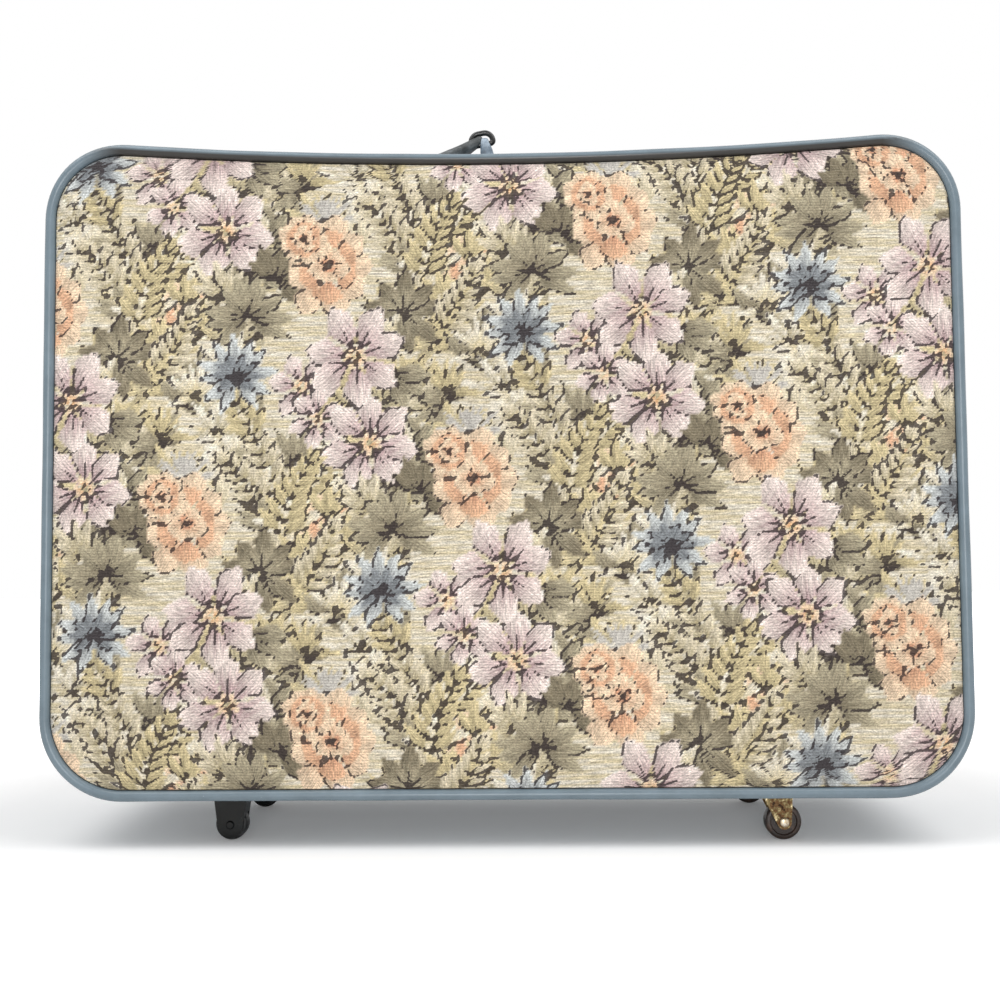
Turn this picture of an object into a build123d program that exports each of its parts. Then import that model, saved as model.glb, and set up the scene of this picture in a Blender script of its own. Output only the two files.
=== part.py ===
"""Soft-sided rolling suitcase with woven tapestry faces, vinyl gusset and piping.

Millimetres, +Z up. X runs along the case's length and -Y is the front face.
The origin is on the floor, below the middle of the case.
"""
from build123d import *
from math import cos, pi, radians, sin, sqrt
import os

os.makedirs("parts", exist_ok=True)

# Body of the case
case_width = 712.0
case_height = 514.0
case_depth = 200.0
corner_radius = 64.0
ground_clearance = 37.0
top_sag = 16.0
bottom_sag = 6.0
gusset_bulge = 4.0
gusset_wall = 3.8
edge_inset = 1.5
seam_gap = 0.3
cut_reach = 30.0
touch_gap = 0.2

# Corded edges
piping_diameter = 7.0
cord_sides = 8

# Front and back faces
panel_edge = 4.0
panel_crown = 9.0
crown_border = 46.0
board_thickness = 2.5

# Stiffening inside
hoop_thickness = 3.0
base_board_thickness = 5.0
base_board_length = 540.0
lining_thickness = 0.8

# Zip between the lid and the body
zip_setback = 14.0
zip_half_width = 3.5
tooth_thickness = 2.4
tape_thickness = 0.8
zip_end_height = 66.0

# Zip slider and its pull
slider_length = 13.0
slider_plate = 1.2
slider_height = 9.0
pull_pin_radius = 0.9
pull_bore_clearance = 0.1
pull_length = 26.0
pull_width = 9.0
pull_thickness = 1.4

# Packing straps inside
strap_width = 25.0
strap_thickness = 1.6
strap_anchor = 34.0
strap_height = 270.0
buckle_size = 38.0
buckle_thickness = 4.0
buckle_frame = 5.0
strap_end_share = 0.3

# Carrying handle
handle_right_x = -16.0
handle_span = 122.0
handle_right_height = 42.0
handle_left_height = 17.0
tab_base_length = 34.0
tab_base_width = 22.0
tab_thickness = 2.0
tab_top_width = 8.0
tab_foot_width = 13.0
ring_wire = 3.0
ring_inner_width = 16.0
ring_inner_height = 8.0
bar_clearance = 0.1
grip_width = 25.0
grip_thickness = 11.0
eye_wall = 2.0
eye_height = 7.4
handle_rivet_diameter = 4.0
handle_rivet_pitch = 22.0

# Wheels: plain fixed ones on the left, swivel casters on the right
wheel_offset = 216.0
caster_wheel_diameter = 28.0
fixed_wheel_diameter = 25.0
wheel_width = 12.0
wheel_dish = 1.2
axle_diameter = 4.0
running_clearance = 0.05
housing_setback = 40.0
housing_wall = 2.6
housing_flange_length = 46.0
housing_flange_width = 40.0
housing_flange_thickness = 2.0
housing_width = 26.0
cheek_radius = 10.0
caster_setback = 33.0
caster_trail = 7.0
plate_length = 36.0
plate_width = 28.0
plate_thickness = 1.6
fork_thickness = 1.4
fork_gap = 1.0
washer_thickness = 1.6
washer_radius = 8.0
kingpin_diameter = 6.0
fork_tip_radius = 5.5
fork_shoulder = 5.0
rivet_diameter = 4.0
rivet_head_radius = 3.4
rivet_head_height = 1.2
rivet_inset = 5.0
rivet_sides = 6
pin_sides = 12
plate_recess = 7.0
recess_margin = 1.0

# Levels worked out from the sizes above
front_y = -case_depth / 2
back_y = case_depth / 2
half_width = case_width / 2
base_z = ground_clearance
top_z = ground_clearance + case_height
piping_radius = piping_diameter / 2
front_seam_y = front_y + piping_radius
back_seam_y = back_y - piping_radius
zip_y = front_y + zip_setback
panel_inset = piping_diameter + seam_gap
hoop_inset = gusset_wall + touch_gap
lining_inset = hoop_inset + hoop_thickness + touch_gap
floor_inset = lining_inset + base_board_thickness + touch_gap
gusset_front_y = zip_y + zip_half_width + 2 * touch_gap
gusset_back_y = back_y - piping_diameter - touch_gap
zip_end_z = base_z + zip_end_height
sag_radius = (half_width**2 + top_sag**2) / (2 * top_sag)


def front_plane(y):
    """Upright plane at depth y, seen from the front."""
    return Plane.XZ.offset(-y)


def top_height(x, inset):
    """Height of the sagging top edge at x, set in from the outline."""
    return top_z - inset - top_sag + sag_radius - sqrt(sag_radius**2 - x**2)


def draw_outline(sketch, inset, floor_lift=0.0, floor_drop=0.0):
    """Rounded outline of the case with its sagging top edge."""
    side = half_width - inset
    low = base_z + inset + floor_lift
    high = top_z - inset
    with BuildLine() as outline:
        if floor_drop > 0:
            ThreePointArc((-side, low), (0, low - floor_drop), (side, low))
        else:
            Line((-side, low), (side, low))
        Line((side, low), (side, high))
        ThreePointArc((side, high), (0, high - top_sag), (-side, high))
        Line((-side, high), (-side, low))
    make_face(outline.edges())
    fillet(sketch.vertices(), radius=corner_radius - inset)


def band(y_from, y_to, outer_inset, inner_inset, floor_lift=0.0):
    """Closed band that follows the outline, between two depths."""
    with BuildSketch(front_plane(y_from)) as outer_face:
        draw_outline(outer_face, outer_inset, floor_lift)
    extrude(outer_face.sketch, amount=y_from - y_to)
    with BuildSketch(front_plane(y_from)) as inner_face:
        draw_outline(inner_face, inner_inset, floor_lift)
    extrude(inner_face.sketch, amount=y_from - y_to, mode=Mode.SUBTRACT)


def slab(y_from, y_to, inset, floor_lift=0.0):
    """Flat sheet with the case's outline, between two depths."""
    with BuildSketch(front_plane(y_from)) as sheet:
        draw_outline(sheet, inset, floor_lift)
    extrude(sheet.sketch, amount=y_from - y_to)


def keep_above_zip_ends(y_middle):
    """Cuts away what lies below the two ends of the zip."""
    with Locations((0, y_middle, 0)):
        Box(
            case_width + cut_reach,
            2 * zip_setback,
            zip_end_z,
            align=(Align.CENTER, Align.CENTER, Align.MIN),
            mode=Mode.SUBTRACT,
        )


def save(part, name):
    part.label = name
    export_step(part, f"parts/{name}.step")
    print(f"{name}: {len(part.solids())} solid(s), {part.volume / 1000:.2f} cm3")


# Places of the wheel units along and across the base
caster_swivel_x = wheel_offset - caster_trail
caster_radius = caster_wheel_diameter / 2
fixed_radius = fixed_wheel_diameter / 2
base_seat_z = base_z + edge_inset
caster_depth = case_depth / 2 - caster_setback
housing_depth = case_depth / 2 - housing_setback
caster_ys = (-caster_depth, caster_depth)
housing_ys = (-housing_depth, housing_depth)
rivet_dx = plate_length / 2 - rivet_inset
rivet_dy = plate_width / 2 - rivet_inset
caster_rivet_spots = [
    (caster_swivel_x + side_x * rivet_dx, y + side_y * rivet_dy)
    for y in caster_ys
    for side_x in (-1, 1)
    for side_y in (-1, 1)
]
housing_rivet_spots = [
    (-wheel_offset + side_x * (housing_flange_length / 2 - rivet_inset), y)
    for y in housing_ys
    for side_x in (-1, 1)
]
wheel_rivet_spots = caster_rivet_spots + housing_rivet_spots

# Places of the two handle tabs, and of the line that the handle swings about
handle_left_x = handle_right_x - handle_span
tab_xs = (handle_right_x, handle_left_x)


def tab_seat(x):
    """Height of the flat seat that a handle tab is riveted to."""
    return top_height(x, 0.0) + 1.0


swing_right = Vector(handle_right_x, 0, tab_seat(handle_right_x) + handle_right_height)
swing_left = Vector(handle_left_x, 0, tab_seat(handle_left_x) + handle_left_height)
swing_line = (swing_right - swing_left).normalized()
swing_length = (swing_right - swing_left).length
handle_rivet_spots = [(x + side * handle_rivet_pitch / 2, 0) for x in tab_xs for side in (-1, 1)]


def rivet_holes(spots, z_from, z_to, diameter):
    """Straight holes for rivets, between two heights."""
    with BuildSketch(Plane.XY.offset(z_from)) as holes:
        with Locations(*spots):
            RegularPolygon(diameter / 2 + touch_gap / 2, rivet_sides)
    extrude(holes.sketch, amount=z_to - z_from, mode=Mode.SUBTRACT)


# Gusset: foam-backed vinyl that goes all round the case and swells a little outwards
with BuildPart() as gusset:
    swellings = []
    for y, share in (
        (gusset_front_y, 0),
        (gusset_front_y / 3, 1),
        (gusset_back_y / 3, 1),
        (gusset_back_y, 0),
    ):
        swell = share * (gusset_bulge + edge_inset)
        with BuildSketch(front_plane(y)) as swelling:
            draw_outline(
                swelling,
                edge_inset - swell,
                floor_lift=share * gusset_bulge,
                floor_drop=share * bottom_sag,
            )
        swellings.append(swelling.sketch)
    loft(swellings, ruled=True)
    with BuildSketch(front_plane(gusset_front_y - 1)) as gusset_inside:
        draw_outline(gusset_inside, gusset_wall)
    extrude(gusset_inside.sketch, amount=gusset_front_y - gusset_back_y - 2, mode=Mode.SUBTRACT)
    with BuildSketch(Plane.XY.offset(base_seat_z)) as wheel_recesses:
        with Locations(*[(caster_swivel_x, y) for y in caster_ys]):
            Circle(plate_length / 2 + plate_recess)
        with Locations(*[(-wheel_offset, y) for y in housing_ys]):
            Rectangle(housing_flange_length + 2 * recess_margin, housing_flange_width + 2 * recess_margin)
    extrude(wheel_recesses.sketch, amount=-cut_reach, mode=Mode.SUBTRACT)
    for tab_x in tab_xs:
        with Locations((tab_x, 0, tab_seat(tab_x))):
            Box(
                tab_base_length + 2 * recess_margin,
                tab_base_width + 2 * recess_margin,
                cut_reach,
                align=(Align.CENTER, Align.CENTER, Align.MIN),
                mode=Mode.SUBTRACT,
            )
    rivet_holes(wheel_rivet_spots, 0, base_z + cut_reach, rivet_diameter)
    rivet_holes(handle_rivet_spots, top_z - 2 * cut_reach, top_z + cut_reach, handle_rivet_diameter)
save(gusset.part, "gusset")

# Hoop: band of fibreboard inside the gusset that keeps the case's shape
with BuildPart() as hoop:
    band(gusset_front_y, gusset_back_y, hoop_inset, hoop_inset + hoop_thickness)
    rivet_holes(wheel_rivet_spots, 0, base_z + cut_reach, rivet_diameter)
    rivet_holes(handle_rivet_spots, top_z - 2 * cut_reach, top_z + cut_reach, handle_rivet_diameter)
save(hoop.part, "hoop")

# Base board: plywood inside the bottom that the wheels are riveted through
base_board_z = base_z + lining_inset
lining_back_y = gusset_back_y - board_thickness - touch_gap
with BuildPart() as base_board:
    with BuildSketch(Plane.XY.offset(base_board_z)):
        with Locations((0, gusset_front_y)):
            Rectangle(
                base_board_length,
                lining_back_y - touch_gap - gusset_front_y,
                align=(Align.CENTER, Align.MIN),
            )
    extrude(amount=base_board_thickness)
    rivet_holes(wheel_rivet_spots, 0, base_board_z + cut_reach, rivet_diameter)
save(base_board.part, "base_board")

# Body lining: thin cloth over the inside of the body, open to the front
with BuildPart() as body_lining:
    floor_rise = floor_inset - lining_inset
    slab(gusset_front_y, lining_back_y, lining_inset, floor_rise)
    with BuildSketch(front_plane(gusset_front_y)) as lining_inside:
        draw_outline(lining_inside, lining_inset + lining_thickness, floor_rise)
    extrude(amount=gusset_front_y - lining_back_y + lining_thickness, mode=Mode.SUBTRACT)
save(body_lining.part, "body_lining")

# Back board: fibreboard sheet behind the back face, held inside the hoop
with BuildPart() as back_board:
    slab(lining_back_y + touch_gap, gusset_back_y, lining_inset)
save(back_board.part, "back_board")


def padded_face(seam_plane_y, outward):
    """Woven face over foam: thin at its seam and crowned towards the middle."""
    sections = []
    for inset, rise in (
        (0, 0),
        (0, panel_edge),
        (crown_border / 3, 0.8 * panel_crown),
        (crown_border, panel_crown),
    ):
        with BuildSketch(front_plane(seam_plane_y + outward * rise)) as face_section:
            draw_outline(face_section, panel_inset + inset)
        sections.append(face_section.sketch)
    loft(sections, ruled=True)


# Back face: woven tapestry over foam
back_face_y = gusset_back_y + touch_gap
with BuildPart() as back_panel:
    padded_face(back_face_y, 1)
save(back_panel.part, "back_panel")

# Front face: the same tapestry, sewn to the lid
front_face_y = front_y + piping_diameter + touch_gap
with BuildPart() as front_panel:
    padded_face(front_face_y, -1)
save(front_panel.part, "front_panel")


# Woven pattern: fields of coloured weft, one thread proud of the front face, in a slanting repeat
thread_rise = 0.4
repeat_across = (222.0, 35.0)
repeat_down = (-108.0, -201.0)
first_bloom = (0.0, 203.0)
field_reach_x = half_width - panel_inset - crown_border
field_low_z = base_z + panel_inset + crown_border
field_high_z = top_z - top_sag - panel_inset - crown_border
field_y = front_face_y - panel_crown


def field_spots(offset, reach):
    """Places of one kind of field on the flat part of the face, in every repeat of the pattern."""
    spots = []
    for across in range(-3, 4):
        for down in range(-3, 4):
            x = first_bloom[0] + offset[0] + across * repeat_across[0] + down * repeat_down[0]
            z = first_bloom[1] + offset[1] + across * repeat_across[1] + down * repeat_down[1]
            if abs(x) + reach < field_reach_x and field_low_z < z - reach and z + reach < field_high_z:
                spots.append((x, z))
    return spots


def rosette(offset, reach, petals, waist, turn=0.0):
    """Flower with pointed petals."""
    corners = []
    for petal in range(petals):
        for share, radius in ((0.0, reach), (0.5, waist * reach)):
            angle = radians(turn) + 2 * pi * (petal + share) / petals
            corners.append((radius * cos(angle), radius * sin(angle)))
    with Locations(*field_spots(offset, reach)):
        Polygon(*corners, align=None)


def leaf(offset, length, width, turn):
    """Pointed leaf, widest a third of the way along."""
    corners = [(0.5, 0), (0.15, 0.4), (-0.2, 0.5), (-0.5, 0), (-0.2, -0.5), (0.15, -0.4)]
    tilt = radians(turn)
    bent = [
        (a * length * cos(tilt) - b * width * sin(tilt), a * length * sin(tilt) + b * width * cos(tilt))
        for a, b in corners
    ]
    with Locations(*field_spots(offset, length / 2)):
        Polygon(*bent, align=None)


with BuildPart() as woven_blooms:
    with BuildSketch(front_plane(field_y)):
        rosette((0, 0), 31, 6, 0.74, 10)
        rosette((12, -66), 31, 6, 0.74, 40)
    extrude(amount=thread_rise)
save(woven_blooms.part, "woven_blooms")

with BuildPart() as woven_carnations:
    with BuildSketch(front_plane(field_y)):
        rosette((-19, 71), 29, 5, 0.8, 18)
        rosette((-19, -124), 16, 5, 0.78)
    extrude(amount=thread_rise)
save(woven_carnations.part, "woven_carnations")

with BuildPart() as woven_leaves:
    with BuildSketch(front_plane(field_y)):
        leaf((52, 30), 58, 22, 50)
        leaf((54, -29), 42, 17, -35)
        leaf((-58, -62), 62, 24, 120)
        leaf((-50, 18), 46, 16, 20)
    extrude(amount=thread_rise)
save(woven_leaves.part, "woven_leaves")

with BuildPart() as woven_thistles:
    with BuildSketch(front_plane(field_y)):
        rosette((127, 10), 17, 5, 0.6, 12)
        rosette((92, -50), 15, 4, 0.7)
    extrude(amount=thread_rise)
save(woven_thistles.part, "woven_thistles")


def corded_edge(seam_y):
    """Vinyl-covered cord swept round the outline in the seam."""
    with BuildSketch(front_plane(seam_y), mode=Mode.PRIVATE) as cord_path:
        draw_outline(cord_path, piping_radius)
    route = cord_path.sketch.face().outer_wire()
    with BuildSketch(Plane(origin=route @ 0, z_dir=route % 0)) as cord_section:
        RegularPolygon(piping_radius, cord_sides)
    sweep(cord_section.sketch, path=route)


with BuildPart() as front_piping:
    corded_edge(front_seam_y)
save(front_piping.part, "front_piping")

with BuildPart() as back_piping:
    corded_edge(back_seam_y)
save(back_piping.part, "back_piping")

# Hinge strip: vinyl along the bottom that joins the lid's edge to the body
strip_front_y = front_y + piping_diameter + seam_gap
with BuildPart() as hinge_strip:
    band(strip_front_y, gusset_front_y - touch_gap, edge_inset, gusset_wall)
    with Locations((0, zip_y, zip_end_z - seam_gap)):
        Box(
            case_width + cut_reach,
            2 * zip_setback,
            case_height,
            align=(Align.CENTER, Align.CENTER, Align.MIN),
            mode=Mode.SUBTRACT,
        )
save(hinge_strip.part, "hinge_strip")

# Lid edge strip: vinyl between the front cord and the zip, round three sides
lid_strip_back_y = zip_y - zip_half_width - touch_gap
tape_inset = edge_inset + 2 + touch_gap
with BuildPart() as lid_edge_strip:
    band(strip_front_y, lid_strip_back_y, edge_inset, edge_inset + 2)
    keep_above_zip_ends(zip_y)
save(lid_edge_strip.part, "lid_edge_strip")

# Lid half of the zip: cloth tape with its row of teeth
chain_middle_inset = tape_inset + tape_thickness / 2
tooth_outer_inset = chain_middle_inset - tooth_thickness / 2
tooth_inner_inset = chain_middle_inset + tooth_thickness / 2
with BuildPart() as zip_half_lid:
    band(strip_front_y, zip_y - zip_half_width, tape_inset, tape_inset + tape_thickness)
    band(zip_y - zip_half_width, zip_y - touch_gap / 2, tooth_outer_inset, tooth_inner_inset)
    keep_above_zip_ends(zip_y)
save(zip_half_lid.part, "zip_half_lid")

# Body half of the zip, mirrored about the zip's middle line
with BuildPart() as zip_half_body:
    band(zip_y + touch_gap / 2, zip_y + zip_half_width, tooth_outer_inset, tooth_inner_inset)
    keep_above_zip_ends(zip_y)
save(zip_half_body.part, "zip_half_body")

# Lid board: fibreboard sheet behind the front face
lid_board_y = front_face_y + touch_gap
with BuildPart() as lid_board:
    slab(lid_board_y, lid_board_y + board_thickness, lining_inset)
save(lid_board.part, "lid_board")

# Lid lining: cloth over the board
lid_lining_y = lid_board_y + board_thickness + touch_gap
with BuildPart() as lid_lining:
    slab(lid_lining_y, lid_lining_y + lining_thickness, lining_inset + 2)
save(lid_lining.part, "lid_lining")

# Packing straps: webbing from each side wall to a buckle in the middle
strap_y = lining_back_y - lining_thickness - touch_gap
wall_x = half_width - lining_inset - lining_thickness - touch_gap
for side, strap_name in ((-1, "packing_strap_left"), (1, "packing_strap_right")):
    with BuildPart() as packing_strap:
        with BuildSketch(Plane.XY.offset(strap_height - strap_width / 2)):
            with BuildLine():
                Polyline(
                    (side * wall_x, strap_y - strap_anchor),
                    (side * wall_x, strap_y),
                    (side * buckle_size * strap_end_share, strap_y),
                    (side * buckle_size * strap_end_share, strap_y - strap_thickness),
                    (side * (wall_x - strap_thickness), strap_y - strap_thickness),
                    (side * (wall_x - strap_thickness), strap_y - strap_anchor),
                    close=True,
                )
            make_face()
        extrude(amount=strap_width)
    save(packing_strap.part, strap_name)

# Strap buckle: moulded ladder buckle that lies over the two strap ends
buckle_back_y = strap_y - strap_thickness - touch_gap
with BuildPart() as strap_buckle:
    with BuildSketch(front_plane(buckle_back_y)):
        with Locations((0, strap_height)):
            RectangleRounded(buckle_size, buckle_size, buckle_frame)
        with Locations((0, strap_height - buckle_size / 4), (0, strap_height + buckle_size / 4)):
            Rectangle(buckle_size - 2 * buckle_frame, buckle_size / 4, mode=Mode.SUBTRACT)
    extrude(amount=buckle_thickness)
save(strap_buckle.part, "strap_buckle")

# Zip slider: cast metal plate that rides over the teeth, with a bridge for the pull
slider_z = zip_end_z + slider_height
slider_face_x = half_width - tooth_outer_inset + touch_gap
slider_bore_radius = pull_pin_radius + pull_bore_clearance
slider_pin_x = slider_face_x + slider_plate + slider_bore_radius + 0.4
bridge_half_width = 1.1
with BuildPart() as zip_slider:
    with BuildSketch(Plane.YZ.offset(slider_face_x)) as slider_outline:
        with Locations((zip_y, slider_z)):
            Trapezoid(2 * zip_half_width, slider_length, 82)
        fillet(slider_outline.vertices(), radius=1.2)
    extrude(amount=slider_plate)
    with BuildSketch(front_plane(zip_y)):
        with Locations((slider_pin_x, slider_z)):
            Circle(slider_bore_radius + 1)
        with Locations((slider_face_x, slider_z)):
            Rectangle(slider_pin_x - slider_face_x, 2 * slider_bore_radius + 2, align=(Align.MIN, Align.CENTER))
        with Locations((slider_pin_x, slider_z)):
            Circle(slider_bore_radius, mode=Mode.SUBTRACT)
    extrude(amount=bridge_half_width, both=True)
save(zip_slider.part, "zip_slider")

# Zip pull: stamped tongue whose round bar turns in the slider's bridge
window_half_width = bridge_half_width + 0.7
with BuildPart() as zip_pull:
    with BuildSketch(Plane.YZ.offset(slider_pin_x - pull_thickness / 2)) as pull_outline:
        with Locations((zip_y, slider_z + pull_pin_radius)):
            Rectangle(pull_width, pull_length, align=(Align.CENTER, Align.MAX))
        fillet(pull_outline.vertices().group_by(Axis.Y)[0], radius=pull_width / 3)
        with Locations((zip_y, slider_z + 2)):
            Rectangle(2 * window_half_width, 8, align=(Align.CENTER, Align.MAX), mode=Mode.SUBTRACT)
        with Locations((zip_y, slider_z - pull_length + 6)):
            Circle(1.8, mode=Mode.SUBTRACT)
    extrude(amount=pull_thickness)
    with Locations(Location((slider_pin_x, zip_y, slider_z), (90, 0, 0))):
        Cylinder(pull_pin_radius, 2 * window_half_width + 2)
save(zip_pull.part, "zip_pull")

# Handle tabs: vinyl straps folded over the ring's bar and riveted down at both ends
bar_hole_radius = ring_wire / 2 + bar_clearance
fold_radius = bar_hole_radius + tab_thickness
for tab_name, swing_end in (("handle_tab_right", swing_right), ("handle_tab_left", swing_left)):
    seat_z = tab_seat(swing_end.X)
    tab_height = swing_end.Z - seat_z
    with BuildPart() as handle_tab:
        with BuildSketch(Plane(origin=swing_end, x_dir=(0, 1, 0), z_dir=swing_line)):
            Circle(fold_radius)
            with BuildLine():
                Polyline(
                    (-fold_radius, 0),
                    (-tab_thickness, -2 * fold_radius),
                    (-tab_thickness, 4 - tab_height),
                    (-2.5 * tab_thickness, -tab_height - 2),
                    (2.5 * tab_thickness, -tab_height - 2),
                    (tab_thickness, 4 - tab_height),
                    (tab_thickness, -2 * fold_radius),
                    (fold_radius, 0),
                    close=True,
                )
            make_face()
        extrude(amount=tab_foot_width, both=True)
        with BuildSketch(front_plane(0)):
            with BuildLine():
                Polyline(
                    (swing_end.X - tab_foot_width / 2, seat_z),
                    (swing_end.X - tab_top_width / 2, swing_end.Z),
                    (swing_end.X - tab_top_width / 2, swing_end.Z + 2 * fold_radius),
                    (swing_end.X + tab_top_width / 2, swing_end.Z + 2 * fold_radius),
                    (swing_end.X + tab_top_width / 2, swing_end.Z),
                    (swing_end.X + tab_foot_width / 2, seat_z),
                    close=True,
                )
            make_face()
        extrude(amount=tab_base_width, both=True, mode=Mode.INTERSECT)
        with BuildSketch(Plane.XY.offset(seat_z)):
            with Locations((swing_end.X, 0)):
                RectangleRounded(tab_base_length, tab_base_width, 5)
        extrude(amount=tab_thickness)
        with BuildSketch(Plane(origin=swing_end, x_dir=(0, 1, 0), z_dir=swing_line)):
            Circle(bar_hole_radius)
        extrude(amount=tab_foot_width, both=True, mode=Mode.SUBTRACT)
        rivet_holes(handle_rivet_spots, seat_z - 1, seat_z + tab_thickness + 1, handle_rivet_diameter)
    save(handle_tab.part, tab_name)

# Handle rivets: domed heads on the tabs, shanks through the gusset and the hoop
with BuildPart() as handle_rivets:
    for rivet_x, rivet_y in handle_rivet_spots:
        tab_x = min(tab_xs, key=lambda x: abs(x - rivet_x))
        shank_low = top_height(rivet_x, hoop_inset + hoop_thickness) + touch_gap
        shank_high = tab_seat(tab_x) + tab_thickness
        with BuildSketch(Plane.XY.offset(shank_low)) as shank:
            with Locations((rivet_x, rivet_y)):
                RegularPolygon(handle_rivet_diameter / 2, rivet_sides)
        extrude(shank.sketch, amount=shank_high - shank_low)
        with BuildSketch(Plane.XY.offset(shank_high)) as head:
            with Locations((rivet_x, rivet_y)):
                RegularPolygon(rivet_head_radius, rivet_sides)
        extrude(head.sketch, amount=rivet_head_height, taper=35)
save(handle_rivets.part, "handle_rivets")

# Handle rings: wire loops whose lower bar turns in the fold of each tab
ring_half_span = (ring_inner_width + ring_wire) / 2
ring_rise = ring_inner_height + ring_wire
ring_bar = 0.92 * ring_wire
for ring_name, swing_end in (("handle_ring_right", swing_right), ("handle_ring_left", swing_left)):
    swing_plane = Plane(origin=swing_end, x_dir=swing_line, z_dir=(0, -1, 0))
    with BuildPart() as handle_ring:
        with BuildSketch(swing_plane):
            with Locations((0, ring_rise / 2)):
                Rectangle(2 * ring_half_span + ring_bar, ring_rise + ring_bar)
                Rectangle(2 * ring_half_span - ring_bar, ring_rise - ring_bar, mode=Mode.SUBTRACT)
        extrude(amount=ring_bar / 2, both=True)
        ring_faces = handle_ring.faces().filter_by(Axis.Y)
        chamfer(ring_faces.edges(), length=0.29 * ring_bar)
    save(handle_ring.part, ring_name)

# Handle grip: padded vinyl strap with an eye at each end round the ring's side
swing_middle = (swing_right + swing_left) * 0.5
swing_up = Plane(origin=swing_middle, x_dir=swing_line, z_dir=(0, -1, 0)).y_dir
eye_reach = swing_length / 2 - ring_half_span
eye_radius = ring_wire / 2 + bar_clearance + eye_wall
grip_middle = swing_middle + swing_up * (ring_rise / 2)
with BuildPart() as handle_grip:
    for reach, width, thickness in (
        (-1.0, 2 * eye_radius, eye_height),
        (-0.8, 0.62 * grip_width, 0.8 * grip_thickness),
        (-0.5, grip_width, grip_thickness),
        (0.0, 1.04 * grip_width, 1.04 * grip_thickness),
        (0.5, grip_width, grip_thickness),
        (0.8, 0.62 * grip_width, 0.8 * grip_thickness),
        (1.0, 2 * eye_radius, eye_height),
    ):
        section_origin = grip_middle + swing_line * (reach * eye_reach)
        with BuildSketch(Plane(origin=section_origin, x_dir=(0, 1, 0), z_dir=swing_line)) as grip_section:
            Rectangle(width, thickness)
            chamfer(grip_section.vertices(), length=0.3 * thickness)
    loft(ruled=True)
    for end in (-1, 1):
        eye_origin = grip_middle + swing_line * (end * eye_reach)
        with BuildSketch(Plane(origin=eye_origin, x_dir=swing_line, z_dir=swing_up)):
            RegularPolygon(eye_radius, pin_sides)
        extrude(amount=eye_height / 2, both=True)
        with BuildSketch(Plane(origin=eye_origin, x_dir=swing_line, z_dir=swing_up)):
            RegularPolygon(ring_wire / 2 + 2 * bar_clearance, pin_sides)
        extrude(amount=grip_thickness, both=True, mode=Mode.SUBTRACT)
save(handle_grip.part, "handle_grip")


def wheel(x, y, radius):
    """Moulded wheel on a crosswise axle, dished on both sides."""
    with Locations(Location((x, y, radius), (90, 0, 0))):
        Cylinder(radius, wheel_width)
    chamfer(edges().filter_by(GeomType.CIRCLE), length=1.6)
    for side in (-1, 1):
        with Locations(Location((x, y + side * (wheel_width - wheel_dish) / 2, radius), (90, 0, 0))):
            Cylinder(0.72 * radius, wheel_dish, mode=Mode.SUBTRACT)
    with Locations(Location((x, y, radius), (90, 0, 0))):
        Cylinder(axle_diameter / 2 + running_clearance, wheel_width + 2, mode=Mode.SUBTRACT)


def riveted_pin(x, y, z, length):
    """Axle pin with a domed head at each end."""
    with BuildSketch(front_plane(y)) as shank:
        with Locations((x, z)):
            RegularPolygon(axle_diameter / 2, pin_sides)
    extrude(shank.sketch, amount=length / 2, both=True)
    for side in (-1, 1):
        with BuildSketch(Plane(origin=(x, y + side * length / 2, z), x_dir=(1, 0, 0), z_dir=(0, side, 0))) as head:
            RegularPolygon(rivet_head_radius, pin_sides)
        extrude(head.sketch, amount=rivet_head_height, taper=35)


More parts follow.
